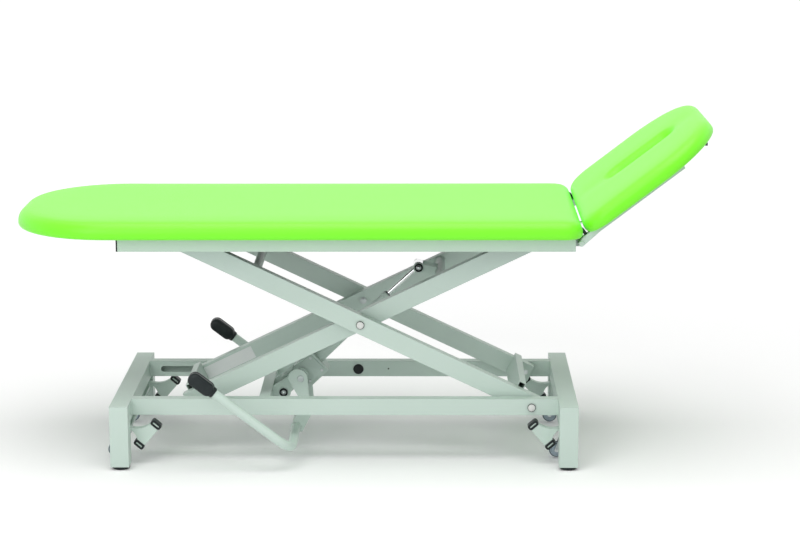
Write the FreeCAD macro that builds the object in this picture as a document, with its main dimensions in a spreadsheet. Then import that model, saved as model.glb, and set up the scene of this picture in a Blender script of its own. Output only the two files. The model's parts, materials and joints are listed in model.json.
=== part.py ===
import FreeCAD, Part
import Sketcher
import math
import os
import re

V = FreeCAD.Vector
os.makedirs("parts", exist_ok=True)
doc = FreeCAD.newDocument("therapy_table")

# Driving dimensions, in millimetres and degrees
SIZES = {
    # the origin lies under the middle of the couch's outline, this far from the base frame's middle
    "table_middle": 44.466,
    # base frame of square and flat tubes, standing on four legs
    "base_length": 1255, "base_width": 600, "post_width": 50, "post_wall": 2.5,
    "frame_height": 176, "foot_height": 9, "foot_edge": 3, "foot_plug": 12, "foot_taper": 4, "foot_play": 1,
    "rail_height": 45, "rail_thick": 30, "rail_wall": 2.5, "rail_rise": 2, "rail_inset": 79,
    "slot_height": 16.6, "slot_inset": 32, "slot_length": 334,
    "plug_radius": 14, "plug_x": 25, "plug_rise": 3,
    # scissor arms, with the lower fixed pivot at the head end
    "arm_reach": 1026, "lift_angle": 25.5, "arm_height": 50, "arm_thick": 30, "arm_wall": 2.5,
    "pivot_inset": 72, "pivot_drop": 23.6, "rail_gap": 4, "arm_spacing": 12, "arm_overrun": 15,
    "bush_radius": 12, "pin_radius": 7, "running_gap": 0.06, "bolt_head_radius": 9.5,
    "bolt_head_height": 3, "roller_radius": 8, "roller_depth": 20,
    "round_tube_radius": 12.5, "round_tube_reach": 315, "round_tube_wall": 2,
    "box_tube_height": 58, "box_tube_thick": 20, "box_tube_wall": 2, "box_tube_rise": 10,
    "box_tube_reach_a": 42, "box_tube_reach_b": 6,
    "lift_tube_reach": 245, "lift_tube_rise": 8, "lift_tube_radius": 14,
    # hydraulic cylinder between the base bracket and the inner arms
    "cylinder_x": -176, "cylinder_rise": 150, "cylinder_pin_reach": 196, "cylinder_pin_offset": 45,
    "rod_radius": 6, "rod_length": 275, "rod_eye_radius": 15, "rod_eye_width": 40,
    "foot_eye_radius": 17, "foot_eye_width": 72, "foot_eye_bore": 8, "knuckle_radius": 15,
    "barrel_radius": 17, "barrel_nose": 11, "barrel_end": 396, "block_start": 60, "block_length": 73,
    "block_width": 66, "block_low": 42, "block_high": 32, "block_round": 10, "block_lap": 5,
    "barrel_floor": 4,
    "pipe_radius": 3.5, "pipe_rise": 27, "pipe_spread": 22, "pipe_start": 18, "yoke_thick": 8,
    "bracket_gap": 80, "bracket_thick": 6, "bracket_tube_gap": 30, "bracket_tube_width": 30,
    "bracket_tube_height": 34, "bracket_round": 20, "gusset_gap": 44, "gusset_thick": 5, "nut_height": 4,
    "end_play": 0.3,
    "ring_radius": 11, "ring_height": 3, "stub_radius": 7, "stub_reach": 2, "stub_gap": 0.5,
    # foot bar
    "lever_x": -126, "lever_rise": 199, "lever_gap": 164, "lever_thick": 6, "lever_round": 27,
    "lever_shift": -8, "lever_tail": 17,
    "lever_foot": 14, "lever_belly_x": -99, "lever_belly_rise": 95, "lever_waist_x": -134,
    "lever_waist_rise": 150, "bar_radius": 12.5, "bar_wall": 2, "bar_x": -140, "bar_rise": 62,
    "bar_bend": 48, "pedal_x": -377, "pedal_rise": 245, "pedal_spread": 630, "pedal_length": 78,
    "pedal_height": 38, "pedal_width": 38, "pedal_round": 11, "pedal_bar_end": 22,
    # top frame and upholstery
    "top_width": 560, "top_rail_height": 32, "top_rail_thick": 30, "top_rail_wall": 2,
    "top_rail_start": -599, "top_rail_end": 615, "rail_cap": 4, "guide_height": 44,
    "guide_drop": 12, "cross_height": 18, "cross_width": 40, "cross_foot_x": -565,
    "cross_mid_x": 318, "cross_head_x": 548, "cross_head_width": 20, "cross_head_height": 12,
    "guide_end": 610, "board_thick": 8, "board_inset": 46, "board_corner": 8,
    "cushion_width": 650, "cushion_thick": 46, "cushion_start": -895, "cushion_end": 627,
    "cushion_corner": 270, "cushion_end_corner": 50, "cushion_edge": 12, "soft_gap": 0.3,
    # head section, raised in the rest position
    "hinge_x": 630, "hinge_rise": 21, "head_angle": 37.4, "head_seat": 12, "head_start": 37,
    "head_length": 424, "head_thick": 42, "head_corner": 190, "head_start_corner": 90,
    "head_edge": 12, "head_board_thick": 8, "head_board_inset": 56, "head_board_corner": 60,
    "head_board_slot": 6, "head_bar_height": 7,
    "head_bar_width": 25, "head_bar_end": 336, "head_bar_spacing": 529, "head_cross_x": 70,
    "head_bar_eye": 8, "head_bar_toe": 60, "head_bar_crest": 11.5, "head_bar_heel": 14,
    "hinge_radius": 5, "hinge_ear_radius": 12, "hinge_lip": 3, "hinge_head": 2.5, "hinge_ear_thick": 5,
    "hinge_ear_length": 70,
    "face_slot_length": 205, "face_slot_width": 62, "face_slot_x": 261,
    "spring_lug_x": 60, "spring_lug_drop": 32, "spring_anchor_x": 330, "spring_anchor_drop": 19,
    "spring_radius": 9, "spring_length": 190, "spring_neck_radius": 4.5,
    "spring_neck_length": 14, "spring_floor": 10, "spring_rod_radius": 4, "spring_rod_length": 215,
    "spring_eye_radius": 8, "spring_eye_width": 10, "spring_pin_radius": 4, "lug_thick": 4,
    "lug_gap": 14, "lug_round": 10, "lug_flare": 12,
    "lug_width": 24, "lug_stub": 1, "release_x": 388, "release_y": 75, "release_drop": 4,
    "release_reach": 30,
    "release_fall": 40, "release_ear_width": 14, "release_ear_thick": 3, "release_ear_drop": 6,
    "release_ear_spread": 7.8, "release_stub": 3, "release_radius": 3, "knob_radius": 4.5, "knob_length": 12,
    # castors lowered by a pedal at each end
    "shaft_inset": 15.5, "shaft_rise": 110, "shaft_radius": 7, "castor_spread": 352,
    "castor_bar_rise": 88, "castor_bar_thick": 10, "castor_bar_width": 40, "castor_bar_inset": 28,
    "wheel_radius": 21, "wheel_width": 18, "wheel_lift": 4, "hub_radius": 15, "hub_sink": 2,
    "trail": 26, "fork_wall": 3, "fork_gap": 1.5, "fork_top": 83, "fork_crown": 12, "fork_lean": 3,
    "fork_high": 11, "fork_low": 6, "tread_round": 3, "stem_nut": 1,
    "fork_radius": 18, "stem_radius": 5, "axle_radius": 3, "guide_spread": 180,
    "guide_radius": 6, "guide_length": 56, "guide_inset": 5.7, "guide_play": 0.5,
    "cam_spread": 120, "cam_width": 10, "cam_reach": 24, "cam_tip": 4, "cam_drop": 7,
    "tread_thick": 20, "tread_gap": 5, "tread_high_x": 103, "tread_high_rise": 2,
    "tread_low_x": 56, "tread_low_drop": 53, "tread_width": 26, "tread_cap": 16,
    "tread_wall": 2.5, "tread_cap_round": 6, "tread_cap_lip": 1.5, "tread_arc_high": 60, "tread_arc_low": 36,
    "stem_width": 16, "stem_start": 11,
}

sheet = doc.addObject("Spreadsheet::Sheet", "sizes")
for row, (alias, number) in enumerate(SIZES.items(), start=1):
    sheet.set(f"A{row}", alias)
    sheet.set(f"B{row}", str(number))
    sheet.setAlias(f"B{row}", alias)
doc.recompute()

# Places that follow from the driving dimensions, as expressions
beam_x = "(base_length/2 - post_width/2)"
beam_face = "(base_length/2 - post_width)"
rail_face = "(base_width/2 - rail_inset)"
rail_inner = "(base_width/2 - rail_inset - rail_thick)"
pivot_x = "(base_length/2 - post_width - pivot_inset)"
pivot_z = "(frame_height + rail_rise - pivot_drop)"
top_z = "(frame_height + rail_rise - pivot_drop + arm_reach*sin(lift_angle))"
slide_x = "(base_length/2 - post_width - pivot_inset - arm_reach*cos(lift_angle))"
arm_a_face = f"({rail_inner} - rail_gap)"
arm_a_inner = f"({rail_inner} - rail_gap - arm_thick)"
arm_b_face = f"({rail_inner} - rail_gap - arm_thick - arm_spacing)"
arm_b_inner = f"({rail_inner} - rail_gap - 2*arm_thick - arm_spacing)"
pin_reach = "(arm_reach/2 + cylinder_pin_reach)"
lift_pin_x = f"({slide_x} + {pin_reach}*cos(lift_angle) - cylinder_pin_offset*sin(lift_angle))"
lift_pin_z = f"({pivot_z} + {pin_reach}*sin(lift_angle) + cylinder_pin_offset*cos(lift_angle))"
cylinder_span = f"(sqrt(({lift_pin_x} - cylinder_x)^2 + ({lift_pin_z} - cylinder_rise)^2))"
cylinder_tilt = f"(atan(({lift_pin_z} - cylinder_rise)/({lift_pin_x} - cylinder_x)))"
hinge_z = f"({top_z} + hinge_rise)"
wheel_z = "(wheel_radius + wheel_lift)"
shaft_x = "(base_length/2 - shaft_inset)"
leg_y = "(base_width/2 - post_width/2)"
lug_x = "(hinge_x + spring_lug_x*cos(head_angle) + spring_lug_drop*sin(head_angle))"
lug_z = f"({hinge_z} + spring_lug_x*sin(head_angle) - spring_lug_drop*cos(head_angle))"
spring_rise = f"({lug_z} - {top_z} + spring_anchor_drop)"
spring_span = f"(sqrt(({lug_x} - spring_anchor_x)^2 + {spring_rise}^2))"
spring_tilt = f"(atan({spring_rise}/({lug_x} - spring_anchor_x)))"
bar_tilt = "(atan((pedal_rise - bar_rise)/(bar_x - pedal_x)))"


def expr(text):
    """Point each size named in an expression at its cell in the sheet."""
    return re.sub(r"[a-z_]+", lambda word: "sizes." + word[0] if word[0] in SIZES else word[0], str(text))


def value(text):
    """Work an expression out from the sheet."""
    return float(sheet.evalExpression(expr(text)))


def bind(obj, **sizes):
    """Tie properties of an object to expressions."""
    for name, text in sizes.items():
        obj.setExpression(name, expr(text))
    return obj


# A place is (x, y, z, turn about +Y); every group of pieces on one tilted carrier shares one
BASE = ("0", "0", "0", "0")
ARM_A = (pivot_x, "0", pivot_z, "lift_angle")
ARM_B = (slide_x, "0", pivot_z, "-lift_angle")
TOP = ("0", "0", top_z, "0")
HEAD = ("hinge_x", "0", hinge_z, "-head_angle")
CYLINDER = ("cylinder_x", "0", "cylinder_rise", f"-{cylinder_tilt}")
SPRING = ("spring_anchor_x", "0", f"({top_z} - spring_anchor_drop)", f"-{spring_tilt}")
PEDAL = ("pedal_x", "0", "pedal_rise", bar_tilt)


def put(obj, place=BASE):
    """Place an object, with its x, y, z and turn bound to expressions."""
    x, y, z, turn = place
    x = f"{x} - table_middle"
    obj.Placement = FreeCAD.Placement(V(value(x), value(y), value(z)),
                                      FreeCAD.Rotation(V(0, 1, 0), value(turn)))
    for axis, text in zip("xyz", (x, y, z)):
        obj.setExpression(f"Placement.Base.{axis}", expr(text))
    obj.setExpression("Placement.Rotation.Angle", expr(turn))
    return obj


def aim(obj, place, axis, shift):
    """Place a primitive on a carrier: its own axis along X, Y or Z, shifted in the carrier's frame."""
    x, y, z, turn = place
    dx, dy, dz = shift
    turns = {"z": FreeCAD.Rotation(), "y": FreeCAD.Rotation(V(1, 0, 0), -90),
             "x": FreeCAD.Rotation(V(0, 1, 0), 90)}
    obj.Placement = FreeCAD.Placement(V(0, 0, 0), FreeCAD.Rotation(V(0, 1, 0), value(turn)) * turns[axis])
    obj.setExpression("Placement.Base.x", expr(f"{x} - table_middle + ({dx})*cos({turn}) + ({dz})*sin({turn})"))
    obj.setExpression("Placement.Base.y", expr(f"{y} + ({dy})"))
    obj.setExpression("Placement.Base.z", expr(f"{z} - ({dx})*sin({turn}) + ({dz})*cos({turn})"))
    return obj


PLANES = {"XY": "XY_Plane", "XZ": "XZ_Plane", "YZ": "YZ_Plane"}


def sketch(body, name, plane, outlines, offset="0"):
    """Draw closed outlines on one of the body's own planes, moved along its normal.

    Each outline is a list of corners (x, y), or (x, y, radius, side) where an arc leads to the next
    corner, bulging to the side -1 or 1 of the chord, or ("circle", x, y, radius).
    """
    drawn = body.newObject("Sketcher::SketchObject", name)
    support = [f for f in body.Origin.OriginFeatures if f.Role == PLANES[plane]][0]
    drawn.AttachmentSupport = [(support, "")]
    drawn.MapMode = "FlatFace"
    drawn.setExpression("AttachmentOffset.Base.z", expr(offset))
    bound = []
    for outline in outlines:
        first = drawn.GeometryCount
        if outline[0] == "circle":
            _, x, y, radius = outline
            drawn.addGeometry(Part.Circle(V(value(x), value(y), 0), V(0, 0, 1), value(radius)), False)
            bound += [("DistanceX", (-1, 1, first, 3), x), ("DistanceY", (-1, 1, first, 3), y),
                      ("Radius", (first,), radius)]
            continue
        points = [V(value(corner[0]), value(corner[1]), 0) for corner in outline]
        for index, corner in enumerate(outline):
            start, end = points[index], points[(index + 1) % len(points)]
            if len(corner) == 2:
                drawn.addGeometry(Part.LineSegment(start, end), False)
            else:
                radius, side = value(corner[2]), corner[3]
                chord = end - start
                rise = math.sqrt(max(radius ** 2 - (chord.Length / 2) ** 2, 0))
                across = V(-chord.y, chord.x, 0).normalize()
                middle = (start + end) * 0.5 - across * (side * rise)
                crest = middle + across * (side * radius)
                drawn.addGeometry(Part.Arc(start, crest, end), False)
        count = len(outline)
        for index in range(count):
            ends = (first + index, first + (index + 1) % count)
            flipped = [outline[(index + step) % count] for step in (0, 1)]
            stop = 2 if len(flipped[0]) == 2 or flipped[0][3] < 0 else 1
            begin = 1 if len(flipped[1]) == 2 or flipped[1][3] < 0 else 2
            drawn.addConstraint(Sketcher.Constraint("Coincident", ends[0], stop, ends[1], begin))
        for index, corner in enumerate(outline):
            at = 1 if len(corner) == 2 or corner[3] < 0 else 2
            bound += [("DistanceX", (-1, 1, first + index, at), corner[0]),
                      ("DistanceY", (-1, 1, first + index, at), corner[1])]
            if len(corner) == 4:
                bound.append(("Radius", (first + index,), corner[2]))
    for number, (kind, where, text) in enumerate(bound):
        index = drawn.addConstraint(Sketcher.Constraint(kind, *where, value(text)))
        drawn.renameConstraint(index, f"size{number}")
        drawn.setExpression(f"Constraints.size{number}", expr(text))
    return drawn


def body_at(name, place=BASE):
    """Start a named body on its carrier."""
    body = doc.addObject("PartDesign::Body", name)
    body.Label = name
    body.AllowCompound = True
    return put(body, place)


def pad(body, name, plane, outlines, length, offset="0", reverse=False, both=False):
    """Raise outlines from a plane; on XZ the plain direction is towards -Y."""
    feature = body.newObject("PartDesign::Pad", name)
    feature.Profile = sketch(body, name + "_outline", plane, outlines, offset)
    feature.Reversed = reverse
    feature.Midplane = both
    return bind(feature, Length=length)


def pocket(body, name, plane, outlines, length, offset="0", reverse=False, both=False):
    """Cut outlines out of a body."""
    feature = body.newObject("PartDesign::Pocket", name)
    feature.Profile = sketch(body, name + "_outline", plane, outlines, offset)
    feature.Reversed = reverse
    feature.Midplane = both
    return bind(feature, Length=length)


def soften(body, name, kind, chosen, size):
    """Fillet or chamfer the edges that a test picks from the body so far."""
    doc.recompute()
    base = body.Tip
    edges = [f"Edge{i}" for i, edge in enumerate(base.Shape.Edges, start=1) if chosen(edge)]
    feature = body.newObject(f"PartDesign::{kind}", name)
    feature.Base = (base, edges)
    return bind(feature, **{"Radius" if kind == "Fillet" else "Size": size})


def rectangle(x_low, y_low, x_high, y_high):
    """Four corners of an upright rectangle."""
    return [(x_low, y_low), (x_high, y_low), (x_high, y_high), (x_low, y_high)]


def tube_section(centre_x, centre_y, width, height, wall):
    """Outer and inner rectangle of a tube's section."""
    outer = rectangle(f"{centre_x} - {width}/2", f"{centre_y} - {height}/2",
                      f"{centre_x} + {width}/2", f"{centre_y} + {height}/2")
    inner = rectangle(f"{centre_x} - {width}/2 + {wall}", f"{centre_y} - {height}/2 + {wall}",
                      f"{centre_x} + {width}/2 - {wall}", f"{centre_y} + {height}/2 - {wall}")
    return [outer, inner]


def cylinder(name, radius, length, place=BASE, axis="z", shift=("0", "0", "0")):
    """A round bar from a shifted point of its carrier, along one of the carrier's axes."""
    bar = bind(doc.addObject("Part::Cylinder", name), Radius=radius, Height=length)
    return aim(bar, place, axis, shift)


def group(name, kind, pieces):
    """Join pieces into one named sub-part, as one solid or as separate solids."""
    joined = doc.addObject({"fuse": "Part::MultiFuse", "apart": "Part::Compound"}[kind], name)
    if kind == "fuse":
        joined.Shapes = pieces
    else:
        joined.Links = pieces
    joined.Label = name
    return joined


def cut(name, base, tools):
    """Take tools out of a piece."""
    tool = tools[0] if len(tools) == 1 else group(name + "_tools", "fuse", tools)
    result = doc.addObject("Part::Cut", name)
    result.Base = base
    result.Tool = tool
    result.Label = name
    return result


def mirrored(name, source, normal):
    """The same piece on the other side of the middle plane."""
    twin = doc.addObject("Part::Mirroring", name)
    twin.Source = source
    twin.Normal = normal
    twin.Base = V(0, 0, 0)
    twin.Label = name
    return twin


def both_sides(name, source):
    """A sub-part of two like pieces, near and far."""
    return group(name, "apart", [source, mirrored(name + "_far", source, V(0, 1, 0))])


PARTS = []


def keep(obj):
    """List an object as a sub-part."""
    PARTS.append(obj)
    return obj


def round_ends(x_low, x_high, half, low_corner, high_corner):
    """Outline of a plate lying along X with rounded corners at both ends."""
    return [(f"{x_low} + {low_corner}", f"-{half}"),
            (f"{x_high} - {high_corner}", f"-{half}", high_corner, -1),
            (x_high, f"{high_corner} - {half}"), (x_high, f"{half} - {high_corner}", high_corner, -1),
            (f"{x_high} - {high_corner}", half), (f"{x_low} + {low_corner}", half, low_corner, -1),
            (x_low, f"{half} - {low_corner}"), (x_low, f"{low_corner} - {half}", low_corner, -1)]


def tapered_link(x_top, z_top, r_top, x_low, z_low, r_low):
    """Outline of a plate with a round head and a round tail, the head above the tail."""
    return [(f"{x_low} - {r_low}", z_low, r_low, -1), (x_low, f"{z_low} - {r_low}", r_low, -1),
            (f"{x_low} + {r_low}", z_low), (f"{x_top} + {r_top}", z_top, r_top, -1),
            (x_top, f"{z_top} + {r_top}", r_top, -1), (f"{x_top} - {r_top}", z_top)]


def box(name, length, width, height, place, shift):
    """A plain block from a shifted corner of its carrier."""
    block = bind(doc.addObject("Part::Box", name), Length=length, Width=width, Height=height)
    return aim(block, place, "z", shift)


# Legs: square tubes closed at the top, bored for the castor shafts
def leg(name, end):
    body = body_at(name)
    middle = f"({end}*{beam_x})"
    pad(body, name + "_tube", "XY", tube_section(middle, f"-{leg_y}", "post_width", "post_width",
                                                 "post_wall"),
        "frame_height - foot_height", "foot_height")
    cap = rectangle(f"{middle} - post_width/2", f"-{leg_y} - post_width/2",
                    f"{middle} + post_width/2", f"-{leg_y} + post_width/2")
    pad(body, name + "_cap", "XY", [cap], "post_wall", "frame_height", reverse=True)
    bore = ("circle", f"{end}*{shaft_x}", "shaft_rise", "shaft_radius + running_gap")
    pocket(body, name + "_bore", "XZ", [bore], "2*post_wall", "base_width/2 - post_width - post_wall/2",
           reverse=True)
    return body


near_legs = [leg("leg_foot_end", "-1"), leg("leg_head_end", "1")]
far_legs = [mirrored(piece.Name + "_far", piece, V(0, 1, 0)) for piece in near_legs]
keep(group("legs", "apart", near_legs + far_legs))


# Feet: a plug in each leg over a domed rubber pad
def foot(name, end):
    middle = f"({end}*{beam_x})"
    plug_side = "post_width - 2*post_wall"
    disc = cylinder(name + "_disc", "post_width/2 - foot_play", "foot_height - foot_edge", BASE, "z",
                    (middle, f"-{leg_y}", "foot_edge"))
    dome = bind(doc.addObject("Part::Cone", name + "_dome"), Radius1="post_width/2 - foot_play - foot_taper",
                Radius2="post_width/2 - foot_play", Height="foot_edge")
    aim(dome, BASE, "z", (middle, f"-{leg_y}", "0"))
    plug = box(name + "_plug", plug_side, plug_side, "foot_plug", BASE,
               (f"{middle} - post_width/2 + post_wall", f"-{leg_y} - post_width/2 + post_wall",
                "foot_height"))
    return group(name, "fuse", [disc, dome, plug])


near_feet = [foot("foot_left", "-1"), foot("foot_right", "1")]
keep(group("foot_pads", "apart", near_feet + [mirrored(f.Name + "_far", f, V(0, 1, 0)) for f in near_feet]))


# End beams between the legs, each with two posts that guide the castor bar
def end_beam(name, end):
    middle = f"({end}*{beam_x})"
    tube = body_at(name + "_tube")
    pad(tube, name + "_wall", "XZ",
        tube_section(middle, "(frame_height - post_width/2)", "post_width", "post_width", "post_wall"),
        "base_width - 2*post_width", both=True)
    posts = [cylinder(f"{name}_post_{side}", "guide_radius", "guide_length", BASE, "z",
                      (f"{end}*({beam_x} - guide_inset)", f"{sign}guide_spread/2",
                       "frame_height - post_width - guide_length")) for side,
                       sign in (("near", "-"), ("far", ""))]
    return keep(group(name, "fuse", [tube] + posts))


end_beam("end_beam_foot", "-1")
end_beam("end_beam_head", "1")


# Side rails: the inner wall is slotted for the rollers, both walls are bored for the pivot bolt
def slotted_tube(name, place, face, height, depth, wall, low_z, x_low, x_high, slot_low, bore_x):
    """Near tube from x_low to x_high, its outer face at -face and the slot's line at z = 0 of the place."""
    body = body_at(name, place)
    pad(body, name + "_tube", "YZ", tube_section(f"(-{face} + {depth}/2)", f"({low_z} + {height}/2)", depth,
                                                 height,
        wall), f"{x_high} - {x_low}", x_low)
    half = "slot_height/2"
    slot = [(f"{slot_low} + {half}", f"-{half}"),
            (f"{slot_low} + slot_length - {half}", f"-{half}", half, -1),
            (f"{slot_low} + slot_length", "0", half, -1), (f"{slot_low} + slot_length - {half}", half),
            (f"{slot_low} + {half}", half, half, -1), (slot_low, "0", half, -1)]
    pocket(body, name + "_slot", "XZ", [slot], f"2*{wall}", f"{face} - {depth} - {wall}/2", reverse=True)
    bore = ("circle", bore_x, "0", "pin_radius + running_gap")
    pocket(body, name + "_bore", "XZ", [bore], f"2*{depth}", f"{face} - {depth}/2", both=True)
    return body


RAIL = ("0", "0", pivot_z, "0")
slot_low = f"(slot_inset - {beam_face})"
near_rail = slotted_tube("side_rail_near", RAIL, rail_face, "rail_height", "rail_thick", "rail_wall",
                         "(pivot_drop - rail_height)", f"-{beam_face}", beam_face, slot_low, pivot_x)
keep(both_sides("side_rails", near_rail))

# Round plugs that close the access holes in the rails' inner walls
rail_plug = cylinder("rail_plug", "plug_radius", "plug_rise", RAIL, "y", ("plug_x", f"-{rail_inner}", "0"))
keep(both_sides("rail_plugs", rail_plug))


# Headed bolts: a shank and a low round head, the head on the outside
def bolt(name, radius, length, place, shift, head="bolt_head_radius", rise="bolt_head_height"):
    dx, dy, dz = shift
    shank = cylinder(name + "_shank", radius, length, place, "y", shift)
    cap = bind(doc.addObject("Part::Cone", name + "_head"), Radius1=f"{head} - {rise}/2", Radius2=head,
               Height=rise)
    aim(cap, place, "y", (dx, f"{dy} - {rise}", dz))
    return group(name, "fuse", [shank, cap])


pivot_bolt = bolt("pivot_bolt", "pin_radius", f"{rail_face} - {arm_a_inner}", RAIL,
                  (pivot_x, f"-{rail_face}", "0"))
keep(both_sides("lower_pivot_bolts", pivot_bolt))

# Cross tube of the base and the two cheeks that hold the cylinder's foot and the foot bar
bracket_x = "(cylinder_x - bracket_tube_gap)"
cross_tube = body_at("bracket_cross_tube")
pad(cross_tube, "bracket_cross_wall", "XZ",
    tube_section(f"({bracket_x} - bracket_tube_width/2)", "cylinder_rise", "bracket_tube_width",
                 "bracket_tube_height", "rail_wall"), f"2*{rail_inner}", both=True)
keep(cross_tube)

cheek = body_at("bracket_cheek")
cheek_outline = [(bracket_x, "cylinder_rise - bracket_tube_height/2"),
                 ("cylinder_x", "cylinder_rise - bracket_round", "bracket_round", -1),
                 ("cylinder_x + bracket_round", "cylinder_rise"),
                 ("lever_x + bracket_round", "lever_rise", "bracket_round", -1),
                 ("lever_x", "lever_rise + bracket_round"),
                 (bracket_x, "cylinder_rise + bracket_tube_height/2")]
pad(cheek, "cheek_plate", "XZ", [cheek_outline], "bracket_thick", "bracket_gap/2")
pocket(cheek, "cheek_bores", "XZ", [("circle", "cylinder_x", "cylinder_rise", "stub_radius"),
       ("circle", "lever_x", "lever_rise", "stub_radius")], "2*bracket_thick",
       "bracket_gap/2 + bracket_thick/2",
       both=True)
keep(both_sides("bracket_cheeks", cheek))

foot_stub = bolt("foot_stub", "stub_radius", "bracket_thick + stub_reach", BASE,
                 ("cylinder_x", "-bracket_gap/2 - bracket_thick", "cylinder_rise"), "ring_radius",
                 "ring_height")
lever_stub = bolt("lever_stub", "stub_radius", "lever_gap/2 + lever_thick - bracket_gap/2 + stub_gap", BASE,
                  ("lever_x", "-lever_gap/2 - lever_thick - stub_gap", "lever_rise"))
keep(both_sides("bracket_bolts", group("bracket_bolt_pair", "apart", [foot_stub, lever_stub])))


# Scissor arms: flat tubes with a welded bush at each pivot
def arm(name, place, face, start, bores):
    """Near arm from x = start along its length, with bores given as (x, radius)."""
    body = body_at(name, place)
    pad(body, name + "_tube", "YZ", tube_section(f"(-{face} + arm_thick/2)", "0", "arm_thick", "arm_height",
        "arm_wall"), "arm_reach + 2*arm_overrun", start)
    pad(body, name + "_bushes", "XZ", [("circle", x, "0", "bush_radius") for x, _ in bores], "arm_thick",
        f"{face} - arm_thick")
    pocket(body, name + "_bores", "XZ", [("circle", x, "0", radius) for x, radius in bores], "2*arm_thick",
           f"{face} - arm_thick/2", both=True)
    return body


loose = "pin_radius + running_gap"
near_arm_a = arm("arm_a_near", ARM_A, arm_a_face, "-arm_reach - arm_overrun",
                 [("0", loose), ("-arm_reach/2", "pin_radius"), ("-arm_reach", "pin_radius")])
keep(near_arm_a)
keep(mirrored("arm_a_far", near_arm_a, V(0, 1, 0)))
near_arm_b = arm("arm_b_near", ARM_B, arm_b_face, "-arm_overrun",
                 [("0", "pin_radius"), ("arm_reach/2", loose), ("arm_reach", "pin_radius")])
keep(near_arm_b)
keep(mirrored("arm_b_far", near_arm_b, V(0, 1, 0)))


# Cross tubes of the arms
def across(name, place, x, z, radius, wall, half):
    """Round tube across the table between two faces."""
    body = body_at(name, place)
    rings = [("circle", x, z, radius), ("circle", x, z, f"{radius} - {wall}")]
    pad(body, name + "_wall", "XZ", rings, f"2*{half}", both=True)
    return keep(body)


def box_across(name, place, x, half):
    """Flat tube across the table that stands a little above the arms' upper edge."""
    body = body_at(name, place)
    pad(body, name + "_wall", "XZ", tube_section(f"({x})", "box_tube_rise", "box_tube_thick",
                                                 "box_tube_height",
        "box_tube_wall"), f"2*{half}", both=True)
    return keep(body)


across("arm_a_round_tube", ARM_A, "-arm_reach/2 - round_tube_reach", "0", "round_tube_radius",
       "round_tube_wall",
       arm_a_inner)
box_across("arm_a_box_tube", ARM_A, "-box_tube_reach_a", arm_a_inner)
across("lift_tube", ARM_B, "arm_reach/2 + lift_tube_reach", "lift_tube_rise", "lift_tube_radius",
       "round_tube_wall",
       arm_b_inner)
box_across("arm_b_box_tube", ARM_B, "box_tube_reach_b", arm_b_inner)

# Middle pivot bolts, fixed in the outer arms and turning in the inner ones
mid_bolt = bolt("mid_bolt", "pin_radius", f"{arm_a_face} - {arm_b_inner} + nut_height", ARM_A,
                ("-arm_reach/2", f"-{arm_a_face}", "0"))
mid_nut = cylinder("mid_nut", "bolt_head_radius", "nut_height", ARM_A, "y",
                   ("-arm_reach/2", f"-{arm_b_inner} + end_play", "0"))
keep(both_sides("mid_pivot_bolts", group("mid_bolt_set", "fuse", [mid_bolt, mid_nut])))


# Pins that stand out of an arm's end, with or without a roller
def arm_pin(name, place, x, inner_face, outer_end, roller):
    pin = cylinder(name + "_pin", "pin_radius", f"{outer_end} - {inner_face}", place, "y",
                   (x, f"-{outer_end}", "0"))
    if not roller:
        return both_sides(name, pin)
    wheel = cylinder(name + "_wheel", "roller_radius", "roller_depth", place, "y", (x, f"-{outer_end}", "0"))
    return both_sides(name, group(name + "_near", "fuse", [pin, wheel]))


keep(arm_pin("upper_rollers", ARM_A, "-arm_reach", arm_a_inner, f"({rail_inner} + roller_depth)", True))
keep(arm_pin("lower_rollers", ARM_B, "0", arm_b_inner, f"({rail_inner} + roller_depth)", True))
keep(arm_pin("upper_pivot_pins", ARM_B, "arm_reach", arm_b_inner, f"({rail_face} - rail_wall - 1)", False))

# Gussets on the lift tube and the pin through the rod's eye
gusset = body_at("gusset_near", ARM_B)
pin_x, pin_z = "(arm_reach/2 + cylinder_pin_reach)", "cylinder_pin_offset"
tube_x = "(arm_reach/2 + lift_tube_reach)"
pad(gusset, "gusset_plate", "XZ", [[(pin_x, f"{pin_z} - rod_eye_radius", "rod_eye_radius", 1),
    (f"{pin_x} - rod_eye_radius", pin_z, "rod_eye_radius", 1), (pin_x, f"{pin_z} + rod_eye_radius"),
    (tube_x, "lift_tube_rise + lift_tube_radius"), (tube_x, "lift_tube_rise - lift_tube_radius")]],
    "gusset_thick", "gusset_gap/2")
pocket(gusset, "gusset_holes", "XZ", [("circle", pin_x, pin_z, "stub_radius"),
       ("circle", tube_x, "lift_tube_rise", "lift_tube_radius")], "2*gusset_thick",
       "gusset_gap/2 + gusset_thick/2", both=True)
keep(both_sides("lift_gussets", gusset))
lift_pin = bolt("lift_pin_near", "stub_radius", "gusset_gap + 2*gusset_thick", ARM_B,
                (pin_x, "-gusset_gap/2 - gusset_thick", pin_z), "ring_radius", "ring_height")
keep(group("lift_pin", "fuse", [lift_pin, cylinder("lift_pin_nut", "ring_radius", "ring_height", ARM_B, "y",
     (pin_x, "gusset_gap/2 + gusset_thick", pin_z))]))

# Piston rod with the eye that turns on the lift pin
rod_bar = cylinder("rod_bar", "rod_radius", "rod_length", CYLINDER, "x",
                   (f"{cylinder_span} - rod_length", "0", "0"))
rod_eye = cylinder("rod_eye", "rod_eye_radius", "rod_eye_width", CYLINDER, "y",
                   (cylinder_span, "-rod_eye_width/2", "0"))
rod_bore = cylinder("rod_bore", "stub_radius + running_gap", "2*rod_eye_width", CYLINDER, "y",
                    (cylinder_span, "-rod_eye_width", "0"))
keep(cut("piston_rod", group("rod_solid", "fuse", [rod_bar, rod_eye]), [rod_bore]))

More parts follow.
